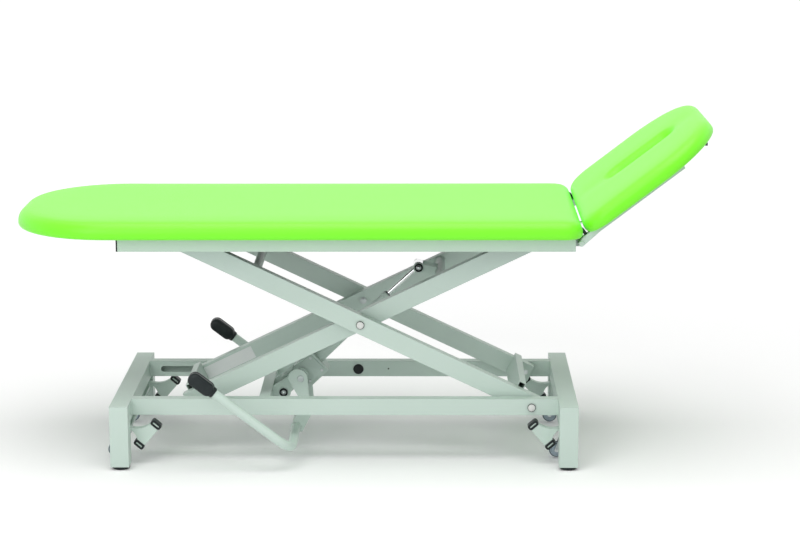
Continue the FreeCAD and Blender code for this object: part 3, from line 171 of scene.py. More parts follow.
def buildGrainGroup():
    tree, start, end = shaderGroup("pebbleGrain", [("Scale", plainSocket, 620.0),
            ("Strength", plainSocket, 0.2)], [("Normal", vectorSocket), ("Height", plainSocket),
            ("Crease", plainSocket)])
    place = node(tree, "ShaderNodeTexCoord")
    sway = node(tree, "ShaderNodeTexNoise", values={"Scale": 90.0, "Detail": 2.0},
            links={"Vector": place.outputs["Object"]})
    shift = node(tree, "ShaderNodeVectorMath", {"operation": "MULTIPLY_ADD"}, {1: (0.002, 0.002, 0.002)},
            {0: sway.outputs["Color"], 2: place.outputs["Object"]})
    cells = node(tree, "ShaderNodeTexVoronoi", {"feature": "DISTANCE_TO_EDGE"},
            links={"Vector": shift.outputs["Vector"], "Scale": start.outputs["Scale"]})
    crest = node(tree, "ShaderNodeMapRange", values={"From Min": 0.0, "From Max": 0.22},
            links={"Value": cells.outputs["Distance"]})
    pores = node(tree, "ShaderNodeTexNoise", values={"Scale": 1500.0, "Detail": 2.0},
            links={"Vector": place.outputs["Object"]})
    height = node(tree, "ShaderNodeMath", {"operation": "MULTIPLY_ADD"}, {1: 0.35},
            {0: pores.outputs["Fac"], 2: crest.outputs["Result"]})
    fine = node(tree, "ShaderNodeBump", values={"Distance": 0.0003},
            links={"Height": height.outputs["Value"], "Strength": start.outputs["Strength"]})
    waves = node(tree, "ShaderNodeTexNoise", values={"Scale": 9.0, "Detail": 2.0},
            links={"Vector": place.outputs["Object"]})
    slack = node(tree, "ShaderNodeBump", values={"Distance": 0.004, "Strength": 0.10},
            links={"Height": waves.outputs["Fac"], "Normal": fine.outputs["Normal"]})
    crease = node(tree, "ShaderNodeMath", {"operation": "SUBTRACT"}, {0: 1.0}, {1: crest.outputs["Result"]})
    tree.links.new(slack.outputs["Normal"], end.inputs["Normal"])
    tree.links.new(height.outputs["Value"], end.inputs["Height"])
    tree.links.new(crease.outputs["Value"], end.inputs["Crease"])
    return tree


def buildBrushGroup():
    tree, start, end = shaderGroup("brushedLines", [("Stretch", vectorSocket, (60.0, 900.0, 900.0)),
            ("Strength", plainSocket, 0.2), ("Normal", vectorSocket, None)],
            [("Normal", vectorSocket), ("Lines", plainSocket)])
    place = node(tree, "ShaderNodeTexCoord")
    drawn = node(tree, "ShaderNodeVectorMath", {"operation": "MULTIPLY"},
            links={0: place.outputs["Object"], 1: start.outputs["Stretch"]})
    lines = node(tree, "ShaderNodeTexNoise", values={"Scale": 1.0, "Detail": 3.0},
            links={"Vector": drawn.outputs["Vector"]})
    bump = node(tree, "ShaderNodeBump", values={"Distance": 0.0002}, links={"Height": lines.outputs["Fac"],
            "Strength": start.outputs["Strength"], "Normal": start.outputs["Normal"]})
    tree.links.new(bump.outputs["Normal"], end.inputs["Normal"])
    tree.links.new(lines.outputs["Fac"], end.inputs["Lines"])
    return tree


edgeGroup = buildEdgeGroup()
toneGroup = buildToneGroup()
peelGroup = buildPeelGroup()
grainGroup = buildGrainGroup()
brushGroup = buildBrushGroup()


def groupNode(tree, group, values=None, links=None):
    return node(tree, "ShaderNodeGroup", {"node_tree": group}, values, links)


def newMaterial(name):
    material = bpy.data.materials.new(name)
    material.use_nodes = True
    tree = material.node_tree
    shader = [n for n in tree.nodes if n.bl_idname == "ShaderNodeBsdfPrincipled"][0]
    return material, tree, shader


def paintedMaterial(name, facts):
    material, tree, shader = newMaterial(name)
    edges = groupNode(tree, edgeGroup, {"Radius": facts["edge"]})
    tone = groupNode(tree, toneGroup, {"Base": facts["base"], "Shade": facts["shade"],
            "Scale": facts["scale"], "Amount": facts["amount"]})
    peel = groupNode(tree, peelGroup, {"Scale": facts["peelScale"], "Strength": facts["peel"]},
            {"Normal": edges.outputs["Normal"]})
    worn = node(tree, "ShaderNodeMath", {"operation": "MULTIPLY"}, {1: facts["wear"]},
            {0: edges.outputs["Wear"]})
    coat = node(tree, "ShaderNodeMix", {"data_type": "RGBA"}, {7: facts["worn"]},
            {0: worn.outputs["Value"], 6: tone.outputs["Color"]})
    rough = node(tree, "ShaderNodeMapRange", values={"To Min": facts["rough"][0],
            "To Max": facts["rough"][1]}, links={"Value": tone.outputs["Mask"]})
    tree.links.new(coat.outputs[2], shader.inputs["Base Color"])
    tree.links.new(rough.outputs["Result"], shader.inputs["Roughness"])
    tree.links.new(peel.outputs["Normal"], shader.inputs["Normal"])
    shader.inputs["Specular IOR Level"].default_value = facts["specular"]
    shader.inputs["Coat Weight"].default_value = facts["coat"]
    shader.inputs["Coat Roughness"].default_value = 0.25
    return material


def metalMaterial(name, facts):
    material, tree, shader = newMaterial(name)
    edges = groupNode(tree, edgeGroup, {"Radius": facts["edge"]})
    brushed = groupNode(tree, brushGroup, {"Stretch": facts["stretch"], "Strength": facts["lines"]},
            {"Normal": edges.outputs["Normal"]})
    tone = groupNode(tree, toneGroup, {"Base": facts["base"], "Shade": facts["shade"],
            "Scale": facts["scale"], "Amount": 1.0})
    rough = node(tree, "ShaderNodeMapRange", values={"To Min": facts["rough"][0],
            "To Max": facts["rough"][1]}, links={"Value": brushed.outputs["Lines"]})
    tree.links.new(tone.outputs["Color"], shader.inputs["Base Color"])
    tree.links.new(rough.outputs["Result"], shader.inputs["Roughness"])
    tree.links.new(brushed.outputs["Normal"], shader.inputs["Normal"])
    shader.inputs["Metallic"].default_value = facts["metallic"]
    return material


def vinylMaterial(name, facts):
    material, tree, shader = newMaterial(name)
    grain = groupNode(tree, grainGroup, {"Scale": facts["grainScale"], "Strength": facts["grain"]})
    tone = groupNode(tree, toneGroup, {"Base": facts["base"], "Shade": facts["shade"], "Scale": 2.5,
            "Amount": 0.6})
    # Painted shade: the grain's creases are mixed towards a darker green.
    depth = node(tree, "ShaderNodeMath", {"operation": "MULTIPLY"}, {1: facts["creaseShadeShare"]},
            {0: grain.outputs["Crease"]})
    hide = node(tree, "ShaderNodeMix", {"data_type": "RGBA"}, {7: facts["creaseShadeColor"]},
            {0: depth.outputs["Value"], 6: tone.outputs["Color"]})
    rough = node(tree, "ShaderNodeMapRange", values={"To Min": facts["rough"][0],
            "To Max": facts["rough"][1]}, links={"Value": grain.outputs["Height"]})
    tree.links.new(hide.outputs[2], shader.inputs["Base Color"])
    tree.links.new(rough.outputs["Result"], shader.inputs["Roughness"])
    tree.links.new(grain.outputs["Normal"], shader.inputs["Normal"])
    shader.inputs["Specular IOR Level"].default_value = facts["specular"]
    shader.inputs["Sheen Weight"].default_value = facts["sheen"]
    shader.inputs["Sheen Roughness"].default_value = 0.5
    return material


def woodMaterial(name, facts):
    material, tree, shader = newMaterial(name)
    place = node(tree, "ShaderNodeTexCoord")
    drawn = node(tree, "ShaderNodeVectorMath", {"operation": "MULTIPLY"}, {1: (2.2, 38.0, 38.0)},
            {0: place.outputs["Object"]})
    fibre = node(tree, "ShaderNodeTexNoise", values={"Scale": 1.0, "Detail": 6.0, "Distortion": 0.6},
            links={"Vector": drawn.outputs["Vector"]})
    lay = node(tree, "ShaderNodeSeparateXYZ", links={"Vector": place.outputs["Object"]})
    plies = node(tree, "ShaderNodeMath", {"operation": "PINGPONG"}, {1: 0.0012}, {0: lay.outputs["Z"]})
    ply = node(tree, "ShaderNodeMapRange", values={"From Max": 0.0012, "To Min": 0.75, "To Max": 1.0},
            links={"Value": plies.outputs["Value"]})
    mixed = node(tree, "ShaderNodeMix", {"data_type": "RGBA"}, {6: facts["base"], 7: facts["shade"]},
            {0: fibre.outputs["Fac"]})
    shaded = node(tree, "ShaderNodeMix", {"data_type": "RGBA", "blend_type": "MULTIPLY"}, {0: 1.0},
            {6: mixed.outputs[2], 7: ply.outputs["Result"]})
    edges = groupNode(tree, edgeGroup, {"Radius": 0.001})
    bump = node(tree, "ShaderNodeBump", values={"Distance": 0.0003, "Strength": 0.25},
            links={"Height": fibre.outputs["Fac"], "Normal": edges.outputs["Normal"]})
    tree.links.new(shaded.outputs[2], shader.inputs["Base Color"])
    tree.links.new(bump.outputs["Normal"], shader.inputs["Normal"])
    shader.inputs["Roughness"].default_value = facts["rough"]
    return material


powderFacts = {"base": (0.560, 0.672, 0.612, 1.0), "shade": (0.525, 0.640, 0.576, 1.0),
        "worn": (0.64, 0.73, 0.68, 1.0),
        "scale": 3.0, "amount": 0.6, "peelScale": 650.0, "peel": 0.12, "wear": 0.5, "edge": 0.0016,
        "rough": (0.36, 0.48), "specular": 0.30, "coat": 0.08}
pumpFacts = dict(powderFacts, base=(0.51, 0.615, 0.56, 1.0), shade=(0.46, 0.56, 0.51, 1.0), peelScale=320.0,
        peel=0.35, edge=0.003, rough=(0.42, 0.58))
rubberFacts = {"base": (0.012, 0.018, 0.019, 1.0), "shade": (0.022, 0.028, 0.029, 1.0),
        "worn": (0.05, 0.055, 0.055, 1.0),
        "scale": 14.0, "amount": 0.8, "peelScale": 900.0, "peel": 0.10, "wear": 0.5, "edge": 0.002,
        "rough": (0.30, 0.42), "specular": 0.22, "coat": 0.0}
plasticFacts = dict(rubberFacts, base=(0.010, 0.012, 0.013, 1.0), rough=(0.35, 0.5), edge=0.001, coat=0.0)
rollerFacts = dict(rubberFacts, base=(0.72, 0.73, 0.71, 1.0), shade=(0.66, 0.67, 0.65, 1.0),
        worn=(0.8, 0.8, 0.8, 1.0), rough=(0.4, 0.5), edge=0.001)
treadFacts = dict(rubberFacts, base=(0.10, 0.125, 0.14, 1.0), shade=(0.08, 0.10, 0.115, 1.0),
        rough=(0.4, 0.6), worn=(0.16, 0.18, 0.19, 1.0))
hubFacts = dict(rubberFacts, base=(0.42, 0.50, 0.56, 1.0), shade=(0.36, 0.44, 0.50, 1.0),
        worn=(0.55, 0.6, 0.64, 1.0), rough=(0.35, 0.45), edge=0.0008)
stickerFacts = dict(rollerFacts, base=(0.80, 0.83, 0.82, 1.0), shade=(0.76, 0.80, 0.79, 1.0),
        rough=(0.3, 0.4), edge=0.0003, wear=0.2)
chromeFacts = {"base": (0.86, 0.87, 0.88, 1.0), "shade": (0.78, 0.79, 0.80, 1.0), "scale": 8.0,
        "edge": 0.0008, "stretch": (80.0, 80.0, 80.0), "lines": 0.02, "rough": (0.06, 0.12), "metallic": 1.0}
zincFacts = {"base": (0.70, 0.73, 0.74, 1.0), "shade": (0.60, 0.63, 0.64, 1.0), "scale": 40.0,
        "edge": 0.0008,
        "stretch": (300.0, 300.0, 300.0), "lines": 0.12, "rough": (0.26, 0.42), "metallic": 1.0}
vinylFacts = {"base": (0.196, 0.930, 0.009, 1.0), "shade": (0.187, 0.910, 0.008, 1.0), "grainScale": 620.0,
        "grain": 0.14, "creaseShadeColor": (0.175, 0.86, 0.008, 1.0), "creaseShadeShare": 0.35, "rough": (0.46, 0.36),
        "specular": 0.5, "sheen": 0.16}
woodFacts = {"base": (0.050, 0.046, 0.042, 1.0), "shade": (0.030, 0.027, 0.025, 1.0), "rough": 0.55}

powder = paintedMaterial("powderCoat", powderFacts)
castPaint = paintedMaterial("castPaint", pumpFacts)
rubber = paintedMaterial("blackRubber", rubberFacts)
plastic = paintedMaterial("blackPlastic", plasticFacts)
rollerPlastic = paintedMaterial("rollerPlastic", rollerFacts)
tread = paintedMaterial("wheelTread", treadFacts)
hub = paintedMaterial("wheelHub", hubFacts)
sticker = paintedMaterial("bareSticker", stickerFacts)
chrome = metalMaterial("chromeSteel", chromeFacts)
zinc = metalMaterial("zincSteel", zincFacts)
vinyl = vinylMaterial("limeVinyl", vinylFacts)
stained = woodMaterial("stainedBoard", woodFacts)
print("materials made")

slotMaterials = {"powder_coat": powder, "upholstery": vinyl, "black_rubber": rubber,
        "black_plastic": plastic, "zinc_steel": zinc, "roller_plastic": rollerPlastic, "chrome": chrome,
        "cast_pump": castPaint, "castor_fork": zinc, "castor_wheel": hub, "plywood": stained}
for entry in frame["record"]["subparts"]:
    part = nodes[entry["node"]]
    part.data.materials.clear()
    part.data.materials.append(slotMaterials[entry["material_slot"]])


# Mesh helpers
def meshObject(name, vertices, faces, material, smooth=True):
    data = bpy.data.meshes.new(name)
    data.from_pydata([tuple(v) for v in vertices], [], faces)
    data.update()
    data.materials.append(material)
    obj = bpy.data.objects.new(name, data)
    bpy.context.scene.collection.objects.link(obj)
    cleaned = bmesh.new()
    cleaned.from_mesh(data)
    bmesh.ops.recalc_face_normals(cleaned, faces=cleaned.faces)
    cleaned.to_mesh(data)
    cleaned.free()
    for face in data.polygons:
        face.use_smooth = smooth
    return obj


# Turns a profile of (radius, height) about Z; a radius of 0 closes the end.
def lathe(name, profile, matrix, material, steps=40):
    vertices, rings = [], []
    for radius, height in profile:
        if radius == 0:
            rings.append([len(vertices)])
            vertices.append(matrix @ Vector((0, 0, height)))
            continue
        rings.append(list(range(len(vertices), len(vertices) + steps)))
        for step in range(steps):
            angle = 2 * math.pi * step / steps
            vertices.append(matrix @ Vector((radius * math.cos(angle), radius * math.sin(angle), height)))
    faces = []
    for low, high in zip(rings, rings[1:]):
        for step in range(steps):
            after = (step + 1) % steps
            if len(low) == 1:
                faces.append((low[0], high[step], high[after]))
            elif len(high) == 1:
                faces.append((low[step], low[after], high[0]))
            else:
                faces.append((low[step], low[after], high[after], high[step]))
    return meshObject(name, vertices, faces, material)


# A closed bead along a path of points.
def sweep(name, path, radius, material, steps=10):
    vertices, faces = [], []
    count = len(path)
    for index, point in enumerate(path):
        ahead = (path[min(index + 1, count - 1)] - path[max(index - 1, 0)]).normalized()
        side = ahead.orthogonal().normalized()
        other = ahead.cross(side)
        for step in range(steps):
            angle = 2 * math.pi * step / steps
            vertices.append(point + (side * math.cos(angle) + other * math.sin(angle)) * radius)
    for index in range(count - 1):
        for step in range(steps):
            after = (step + 1) % steps
            low, high = index * steps, (index + 1) * steps
            faces.append((low + step, low + after, high + after, high + step))
    faces.append(tuple(range(steps)))
    faces.append(tuple(range((count - 1) * steps, count * steps)))
    return meshObject(name, vertices, faces, material)


# Ties a piece to its body.
def fitted(obj, body):
    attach(obj, body)


# Matrix at a place whose Z points across the table, to the near side -1 or the far side 1.
def outwards(place, side):
    return Matrix.Translation(place) @ Matrix.Rotation(-side * math.pi / 2, 4, "X")


# Upholstery
mainCushionFacts = {"xLow": -0.895 - middle, "xHigh": 0.6365 - middle, "half": 0.325, "footCorner": 0.270,
        "headCorner": 0.050, "low": 0.6364, "thick": 0.046, "voxel": 0.006, "cap": 0.0035, "shrink": 0.0025,
        "evened": 70}
headCushionFacts = {"xLow": 0.0265, "xHigh": 0.461, "half": 0.325, "footCorner": 0.075, "headCorner": 0.190,
        "low": 0.0123, "thick": 0.042, "voxel": 0.005, "cap": 0.0045, "shrink": 0.003, "evened": 120,
        "slotLow": 0.1605, "slotHigh": 0.3570, "slotHalf": 0.029}
sideProfile = [(0.044, 0.0), (0.034, -0.0020), (0.014, -0.0042), (0.005, -0.0032), (0.001, 0.001),
        (0.0, 0.007), (0.001, 0.018), (0.0035, 0.027), (0.008, 0.035),
        (0.0145, 0.0405), (0.024, 0.0445), (0.038, 0.046)]
headProfile = [(0.046, 0.0), (0.034, -0.0028), (0.014, -0.0052), (0.005, -0.0042), (0.001, 0.0),
        (0.0, 0.007), (0.0005, 0.018), (0.003, 0.026), (0.008, 0.033),
        (0.016, 0.0385), (0.027, 0.0412), (0.042, 0.042)]
slotProfile = [(0.0, -0.004), (0.0, 0.012), (0.002, 0.021), (0.006, 0.028), (0.012, 0.0335), (0.020, 0.0380),
        (0.030, 0.0408), (0.041, 0.0426), (0.052, 0.0445)]


# Plan outline with rounded corners, anticlockwise.
def plan(xLow, xHigh, half, lowCorner, highCorner, steps=20):
    corners = [(xHigh - highCorner, half - highCorner, highCorner, 0),
            (xLow + lowCorner, half - lowCorner, lowCorner, 1),
            (xLow + lowCorner, lowCorner - half, lowCorner, 2),
            (xHigh - highCorner, highCorner - half, highCorner, 3)]
    points = []
    for centreX, centreY, radius, quarter in corners:
        for step in range(steps + 1):
            angle = math.pi / 2 * (quarter + step / steps)
            points.append((centreX + radius * math.cos(angle), centreY + radius * math.sin(angle)))
    return points


# Closed solid through plan outlines (points, height) from bottom to top.
def stacked(name, loops, material):
    vertices, faces = [], []
    count = len(loops[0][0])
    for points, height in loops:
        vertices += [Vector((x, y, height)) for x, y in points]
    for level in range(len(loops) - 1):
        for step in range(count):
            after = (step + 1) % count
            low, high = level * count, (level + 1) * count
            faces.append((low + step, low + after, high + after, high + step))
    faces.append(tuple(range(count)))
    faces.append(tuple(range((len(loops) - 1) * count, len(loops) * count)))
    return meshObject(name, vertices, faces, material)


def cushionForm(name, facts, profile):
    loops = []
    for inset, rise in profile:
        inner = inset + facts["shrink"]
        loops.append((plan(facts["xLow"] + inner, facts["xHigh"] - inner, facts["half"] - inner,
                max(facts["footCorner"] - inner, 0.004), max(facts["headCorner"] - inner, 0.004)),
                facts["low"] + rise / profile[-1][1] * (facts["thick"] - facts["cap"] * 0.6)))
    return stacked(name, loops, vinyl)


def cutSlot(obj, facts):
    loops = []
    for grow, rise in slotProfile:
        half = facts["slotHalf"] + grow + facts["shrink"]
        loops.append((plan(facts["slotLow"] - grow - facts["shrink"],
                facts["slotHigh"] + grow + facts["shrink"], half,
                half * 0.98, half * 0.98), facts["low"] + rise))
    cutter = stacked("slotCutter", loops, vinyl)
    cutting = obj.modifiers.new("slot", "BOOLEAN")
    cutting.operation = "DIFFERENCE"
    cutting.solver = "EXACT"
    cutting.object = cutter
    applied(obj)
    bpy.data.objects.remove(cutter)


# Puts the result of an object's modifiers into its mesh.
def applied(obj):
    shown = bpy.context.evaluated_depsgraph_get()
    shown.update()
    data = bpy.data.meshes.new_from_object(obj.evaluated_get(shown))
    obj.modifiers.clear()
    obj.data = data


def remeshed(obj, voxel):
    remesh = obj.modifiers.new("voxels", "REMESH")
    remesh.mode = "VOXEL"
    remesh.voxel_size = voxel
    applied(obj)
    smooth = obj.modifiers.new("even", "SMOOTH")
    smooth.factor = 0.5
    smooth.iterations = 3
    applied(obj)


# Keeps how far the points moved outwards, evened out and capped, with the held ones back at their start.
def spreadMoves(obj, start, facts, heldPoints):
    data = obj.data
    moves = np.array([v.co for v in data.vertices]) - start
    for vertex, place in zip(data.vertices, start):
        vertex.co = place
    data.update()
    normals = np.array([v.normal for v in data.vertices])
    swell = np.clip((moves * normals).sum(axis=1), 0.0, facts["cap"])
    edges = np.array([edge.vertices[:] for edge in data.edges])
    count = np.maximum(np.bincount(edges.ravel(), minlength=len(swell)), 1)
    resting = np.array(sorted(heldPoints), dtype=int)
    for _ in range(facts["evened"]):
        near = np.bincount(edges[:, 0], weights=swell[edges[:, 1]], minlength=len(swell))
        near += np.bincount(edges[:, 1], weights=swell[edges[:, 0]], minlength=len(swell))
        swell = (swell + near / count) / 2
        swell[resting] = 0.0
    for vertex, place in zip(data.vertices, start + normals * swell[:, None]):
        vertex.co = place


# Swells the cover under pressure with its underside held.
def inflated(obj, facts, pressure):
    start = [v.co.copy() for v in obj.data.vertices]
    held = obj.vertex_groups.new(name="held")
    seat = facts["low"] + 0.003
    held.add([v.index for v in obj.data.vertices if v.co.z < seat], 1.0, "REPLACE")
    cloth = obj.modifiers.new("cover", "CLOTH")
    cloth.settings.quality = 5
    cloth.settings.mass = 0.3
    cloth.settings.tension_stiffness = 25.0
    cloth.settings.compression_stiffness = 25.0
    cloth.settings.bending_stiffness = 4.0
    cloth.settings.use_pressure = True
    cloth.settings.uniform_pressure_force = pressure
    cloth.settings.effector_weights.gravity = 0.0
    cloth.settings.vertex_group_mass = "held"
    cloth.point_cache.frame_start = 1
    cloth.point_cache.frame_end = 20
    for moment in range(1, 21):
        bpy.context.scene.frame_set(moment)
    applied(obj)
    bpy.context.scene.frame_set(1)
    spreadMoves(obj, np.array(start), facts, {v.index for v in obj.data.vertices if start[v.index].z < seat})


def finished(obj, matrix=None):
    rounding = obj.modifiers.new("rounding", "SUBSURF")
    rounding.levels = 1
    rounding.render_levels = 1
    applied(obj)
    if matrix is not None:
        obj.data.transform(matrix)
    for face in obj.data.polygons:
        face.use_smooth = True
    if not obj.data.materials:
        obj.data.materials.append(vinyl)


mainCover = cushionForm("mainCover", mainCushionFacts, sideProfile)
remeshed(mainCover, mainCushionFacts["voxel"])
inflated(mainCover, mainCushionFacts, 4.0)
finished(mainCover)
fitted(mainCover, "top_frame")
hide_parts("main_cushion")
print("main cushion made:", len(mainCover.data.vertices), "vertices")

headCover = cushionForm("headCover", headCushionFacts, headProfile)
cutSlot(headCover, headCushionFacts)
remeshed(headCover, headCushionFacts["voxel"])
inflated(headCover, headCushionFacts, 4.0)
finished(headCover, headMatrix)
fitted(headCover, "head_section")
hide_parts("head_cushion")
print("head cushion made:", len(headCover.data.vertices), "vertices")

# Pivot caps: low domed caps with a groove over the rail and arm pivots
capFacts = {"radius": 0.0098, "rise": 0.0036, "railFace": 0.221, "armFace": 0.187, "headRise": 0.003}


def pivotCap(name, place, side, body, radius, rise):
    profile = [(0.0, 0.0), (radius, 0.0), (radius, rise * 0.35), (radius * 0.93, rise * 0.62),
            (radius * 0.80, rise * 0.78),
            (radius * 0.74, rise * 0.66), (radius * 0.68, rise * 0.80), (radius * 0.40, rise * 0.95),
            (0.0, rise)]
    cap = lathe(name, profile, outwards(place, side), rollerPlastic)
    fitted(cap, body)
    # Painted shadow: a thin black ring round the cap's foot stands in for the shadow line round the cap.
    shadowRing = lathe(name + "ShadowRing", [(radius * 0.9, -0.0010), (radius * 1.13, -0.0010),
            (radius * 1.13, 0.0006),
            (radius * 1.05, 0.0010), (radius * 0.9, 0.0010), (radius * 0.9, -0.0010)],
            outwards(place, side), plastic)
    fitted(shadowRing, body)


for label, side in (("near", -1), ("far", 1)):
    railPlace = Vector((lowPivot.x, side * (capFacts["railFace"] + capFacts["headRise"]), lowPivot.z))
    armPlace = Vector((midPivot.x, side * (capFacts["armFace"] + capFacts["headRise"]), midPivot.z))
    pivotCap("railCap" + label, railPlace, side, "base_frame", capFacts["radius"], capFacts["rise"])
    pivotCap("armCap" + label, armPlace, side, "outer_arms", capFacts["radius"], capFacts["rise"])
print("pivot caps made")

# Black rings with bolt heads at the cylinder's foot and at the lifting pin
ringFacts = {"outer": 0.0118, "inner": 0.0074, "rise": 0.0040, "bolt": 0.0070, "head": 0.0046,
        "footFace": 0.049, "pin": (0.200007 - middle, 0.500249), "pinFace": 0.030}


def ringedBolt(name, place, side, body):
    outer, inner, rise = ringFacts["outer"], ringFacts["inner"], ringFacts["rise"]
    frameAt = outwards(place, side)
    ring = lathe(name + "Ring", [(inner, 0.0), (outer, 0.0), (outer, rise * 0.6), (outer - 0.0012, rise),
            (inner + 0.0008, rise), (inner, rise * 0.7), (inner, 0.0)], frameAt, rubber)
    fitted(ring, body)
    bolt, head = ringFacts["bolt"], ringFacts["head"]
    cap = lathe(name + "Bolt", [(0.0, 0.0), (bolt, 0.0), (bolt, head * 0.4), (bolt * 0.9, head * 0.75),
            (bolt * 0.55, head * 0.8), (bolt * 0.5, head), (0.0, head)], frameAt, zinc)
    fitted(cap, body)


for label, side in (("Near", -1), ("Far", 1)):
    footPlace = Vector((cylinderFoot.x, side * ringFacts["footFace"], cylinderFoot.z))
    pinPlace = Vector((ringFacts["pin"][0], side * ringFacts["pinFace"], ringFacts["pin"][1]))
    ringedBolt("cylinderFoot" + label, footPlace, side, "base_frame")
    ringedBolt("liftPin" + label, pinPlace, side, "inner_arms")
print("ringed bolts made")


# Hexagon nuts on the inner ends of the middle pivots and over the castor stems
nutFacts = {"across": 0.0082, "rise": 0.0055, "washer": 0.0094, "washerRise": 0.0012, "screw": 0.0042,
        "screwRise": 0.0085, "midFace": 0.1107, "stemTop": 0.0985, "stemScale": 0.8}


def hexNut(name, frameAt, scale, body):
    across, rise = nutFacts["across"] * scale, nutFacts["rise"] * scale
    washer, low = nutFacts["washer"] * scale, nutFacts["washerRise"] * scale
    pieces = [lathe(name + "Washer", [(0.0, 0.0), (washer, 0.0), (washer, low), (0.0, low)], frameAt, zinc),
            lathe(name + "Nut", [(0.0, low), (across * 0.94, low), (across, low + 0.0008 * scale),
            (across, low + rise * 0.8), (across * 0.86, low + rise), (0.0, low + rise)], frameAt, zinc, 6),
            lathe(name + "Screw", [(0.0, low), (nutFacts["screw"] * scale, low),
            (nutFacts["screw"] * scale, nutFacts["screwRise"] * scale), (nutFacts["screw"] * 0.8 * scale,
            (nutFacts["screwRise"] + 0.0008) * scale),
            (0.0, (nutFacts["screwRise"] + 0.0008) * scale)], frameAt, zinc, 20)]
    for piece in pieces:
        for face in piece.data.polygons:
            face.use_smooth = False
        fitted(piece, body)


for label, side in (("Near", -1), ("Far", 1)):
    inside = Vector((midPivot.x, side * nutFacts["midFace"], midPivot.z))
    hexNut("midPivot" + label, outwards(inside, -side), 1.0, "outer_arms")
for end, x in castorEnds:
    for label, y in castorSides:
        stemTop = Matrix.Translation(Vector((x, y, nutFacts["stemTop"])))
        hexNut(f"{end}Stem{label.capitalize()}", stemTop, nutFacts["stemScale"], f"{end}_{label}_fork")
print("nuts made")

# Access plugs in the rails' inner walls: a moulded rim round a sunk middle
plugFacts = {"rim": 0.0148, "lip": 0.0125, "floor": 0.0085, "rise": 0.0034, "x": 0.025 - middle,
        "face": 0.1910, "dot": (0.1118 - middle, 0.1557), "holeShade": 0.0022, "holeShadeRise": 0.0004}
for label, side in (("Near", -1), ("Far", 1)):
    frameAt = outwards(Vector((plugFacts["x"], side * plugFacts["face"], lowPivot.z)), -side)
    rise = plugFacts["rise"]
    plug = lathe("railPlug" + label, [(0.0, 0.0), (plugFacts["rim"], 0.0), (plugFacts["rim"], rise * 0.4),
            (plugFacts["rim"] - 0.0012, rise), (plugFacts["lip"], rise), (plugFacts["floor"], rise * 0.55),
            (plugFacts["floor"] * 0.5, rise * 0.8), (0.0, rise * 0.9)], frameAt, rubber)
    fitted(plug, "base_frame")
    # Painted shade: a thin black disc stands in for the dark inside of a small hole in the rail wall.
    radius, rise = plugFacts["holeShade"], plugFacts["holeShadeRise"]
    holeShadeAt = outwards(Vector((plugFacts["dot"][0], side * plugFacts["face"], plugFacts["dot"][1])), -side)
    holeShade = lathe("railHoleShade" + label, [(0.0, 0.0), (radius, 0.0), (radius, rise), (0.0, rise)], holeShadeAt,
            plastic, 20)
    fitted(holeShade, "base_frame")
print("rail plugs made")

# Arms: closing plates in the four tubes' ends and weld beads round the cross tubes
armFacts = {"height": 0.050, "thick": 0.030, "corner": 0.0032, "plate": 0.0016, "low": -0.0150,
        "high": 1.0410, "outer": 0.187, "inner": 0.145, "bead": 0.0019, "roundTube": (-0.828, 0.157, 0.0),
        "roundBead": 0.0128, "liftTube": (0.758, 0.115, 0.008), "liftBead": 0.0143,
        "leverTube": (-0.140 - middle, 0.0885, 0.062), "leverBead": 0.0128}


def armEnd(name, carrier, along, outwardStep, face, side, body):
    half, depth = armFacts["height"] / 2, armFacts["thick"]
    loops = []
    for inset, step in ((0.0, 0.0), (0.0, 0.6), (0.0006, 1.0)):
        outline = plan(inset, depth - inset, half - inset, armFacts["corner"], armFacts["corner"], 4)
        loops.append(([(a, b) for a, b in outline], outwardStep * armFacts["plate"] * step))
    plate = stacked(name, loops, powder)
    turn = Matrix(((0, 0, 1, along), (side * -1, 0, 0, side * face), (0, 1, 0, 0), (0, 0, 0, 1)))
    plate.data.transform(carrier @ turn)
    fixNormals(plate)
    fitted(plate, body)


def fixNormals(obj):
    cleaned = bmesh.new()
    cleaned.from_mesh(obj.data)
    bmesh.ops.recalc_face_normals(cleaned, faces=cleaned.faces)
    cleaned.to_mesh(obj.data)
    cleaned.free()


def beadRing(name, centre, radius, body, material=powder):
    path = [centre + Vector((radius * math.cos(2 * math.pi * k / 24), 0.0,
            radius * math.sin(2 * math.pi * k / 24))) for k in range(25)]
    bead = sweep(name, path, armFacts["bead"], material, 8)
    fitted(bead, body)


for label, side in (("Near", -1), ("Far", 1)):
    armEnd("armAUpper" + label, armDown, -armFacts["high"], -1, armFacts["outer"], side, "outer_arms")
    armEnd("armALower" + label, armDown, -armFacts["low"], 1, armFacts["outer"], side, "outer_arms")
    armEnd("armBUpper" + label, armUp, armFacts["high"], 1, armFacts["inner"], side, "inner_arms")
    armEnd("armBLower" + label, armUp, armFacts["low"], -1, armFacts["inner"], side, "inner_arms")
    across = Matrix.Scale(side, 4, Vector((0.0, 1.0, 0.0)))
    roundTube = armDown @ across @ Vector(armFacts["roundTube"])
    liftTube = armUp @ across @ Vector(armFacts["liftTube"])
    beadRing("roundTubeBead" + label, roundTube, armFacts["roundBead"], "outer_arms")
    beadRing("liftTubeBead" + label, liftTube, armFacts["liftBead"], "inner_arms")
    beadRing("leverBead" + label, across @ Vector(armFacts["leverTube"]), armFacts["leverBead"],
            "foot_lever")
print("arm ends and beads made")

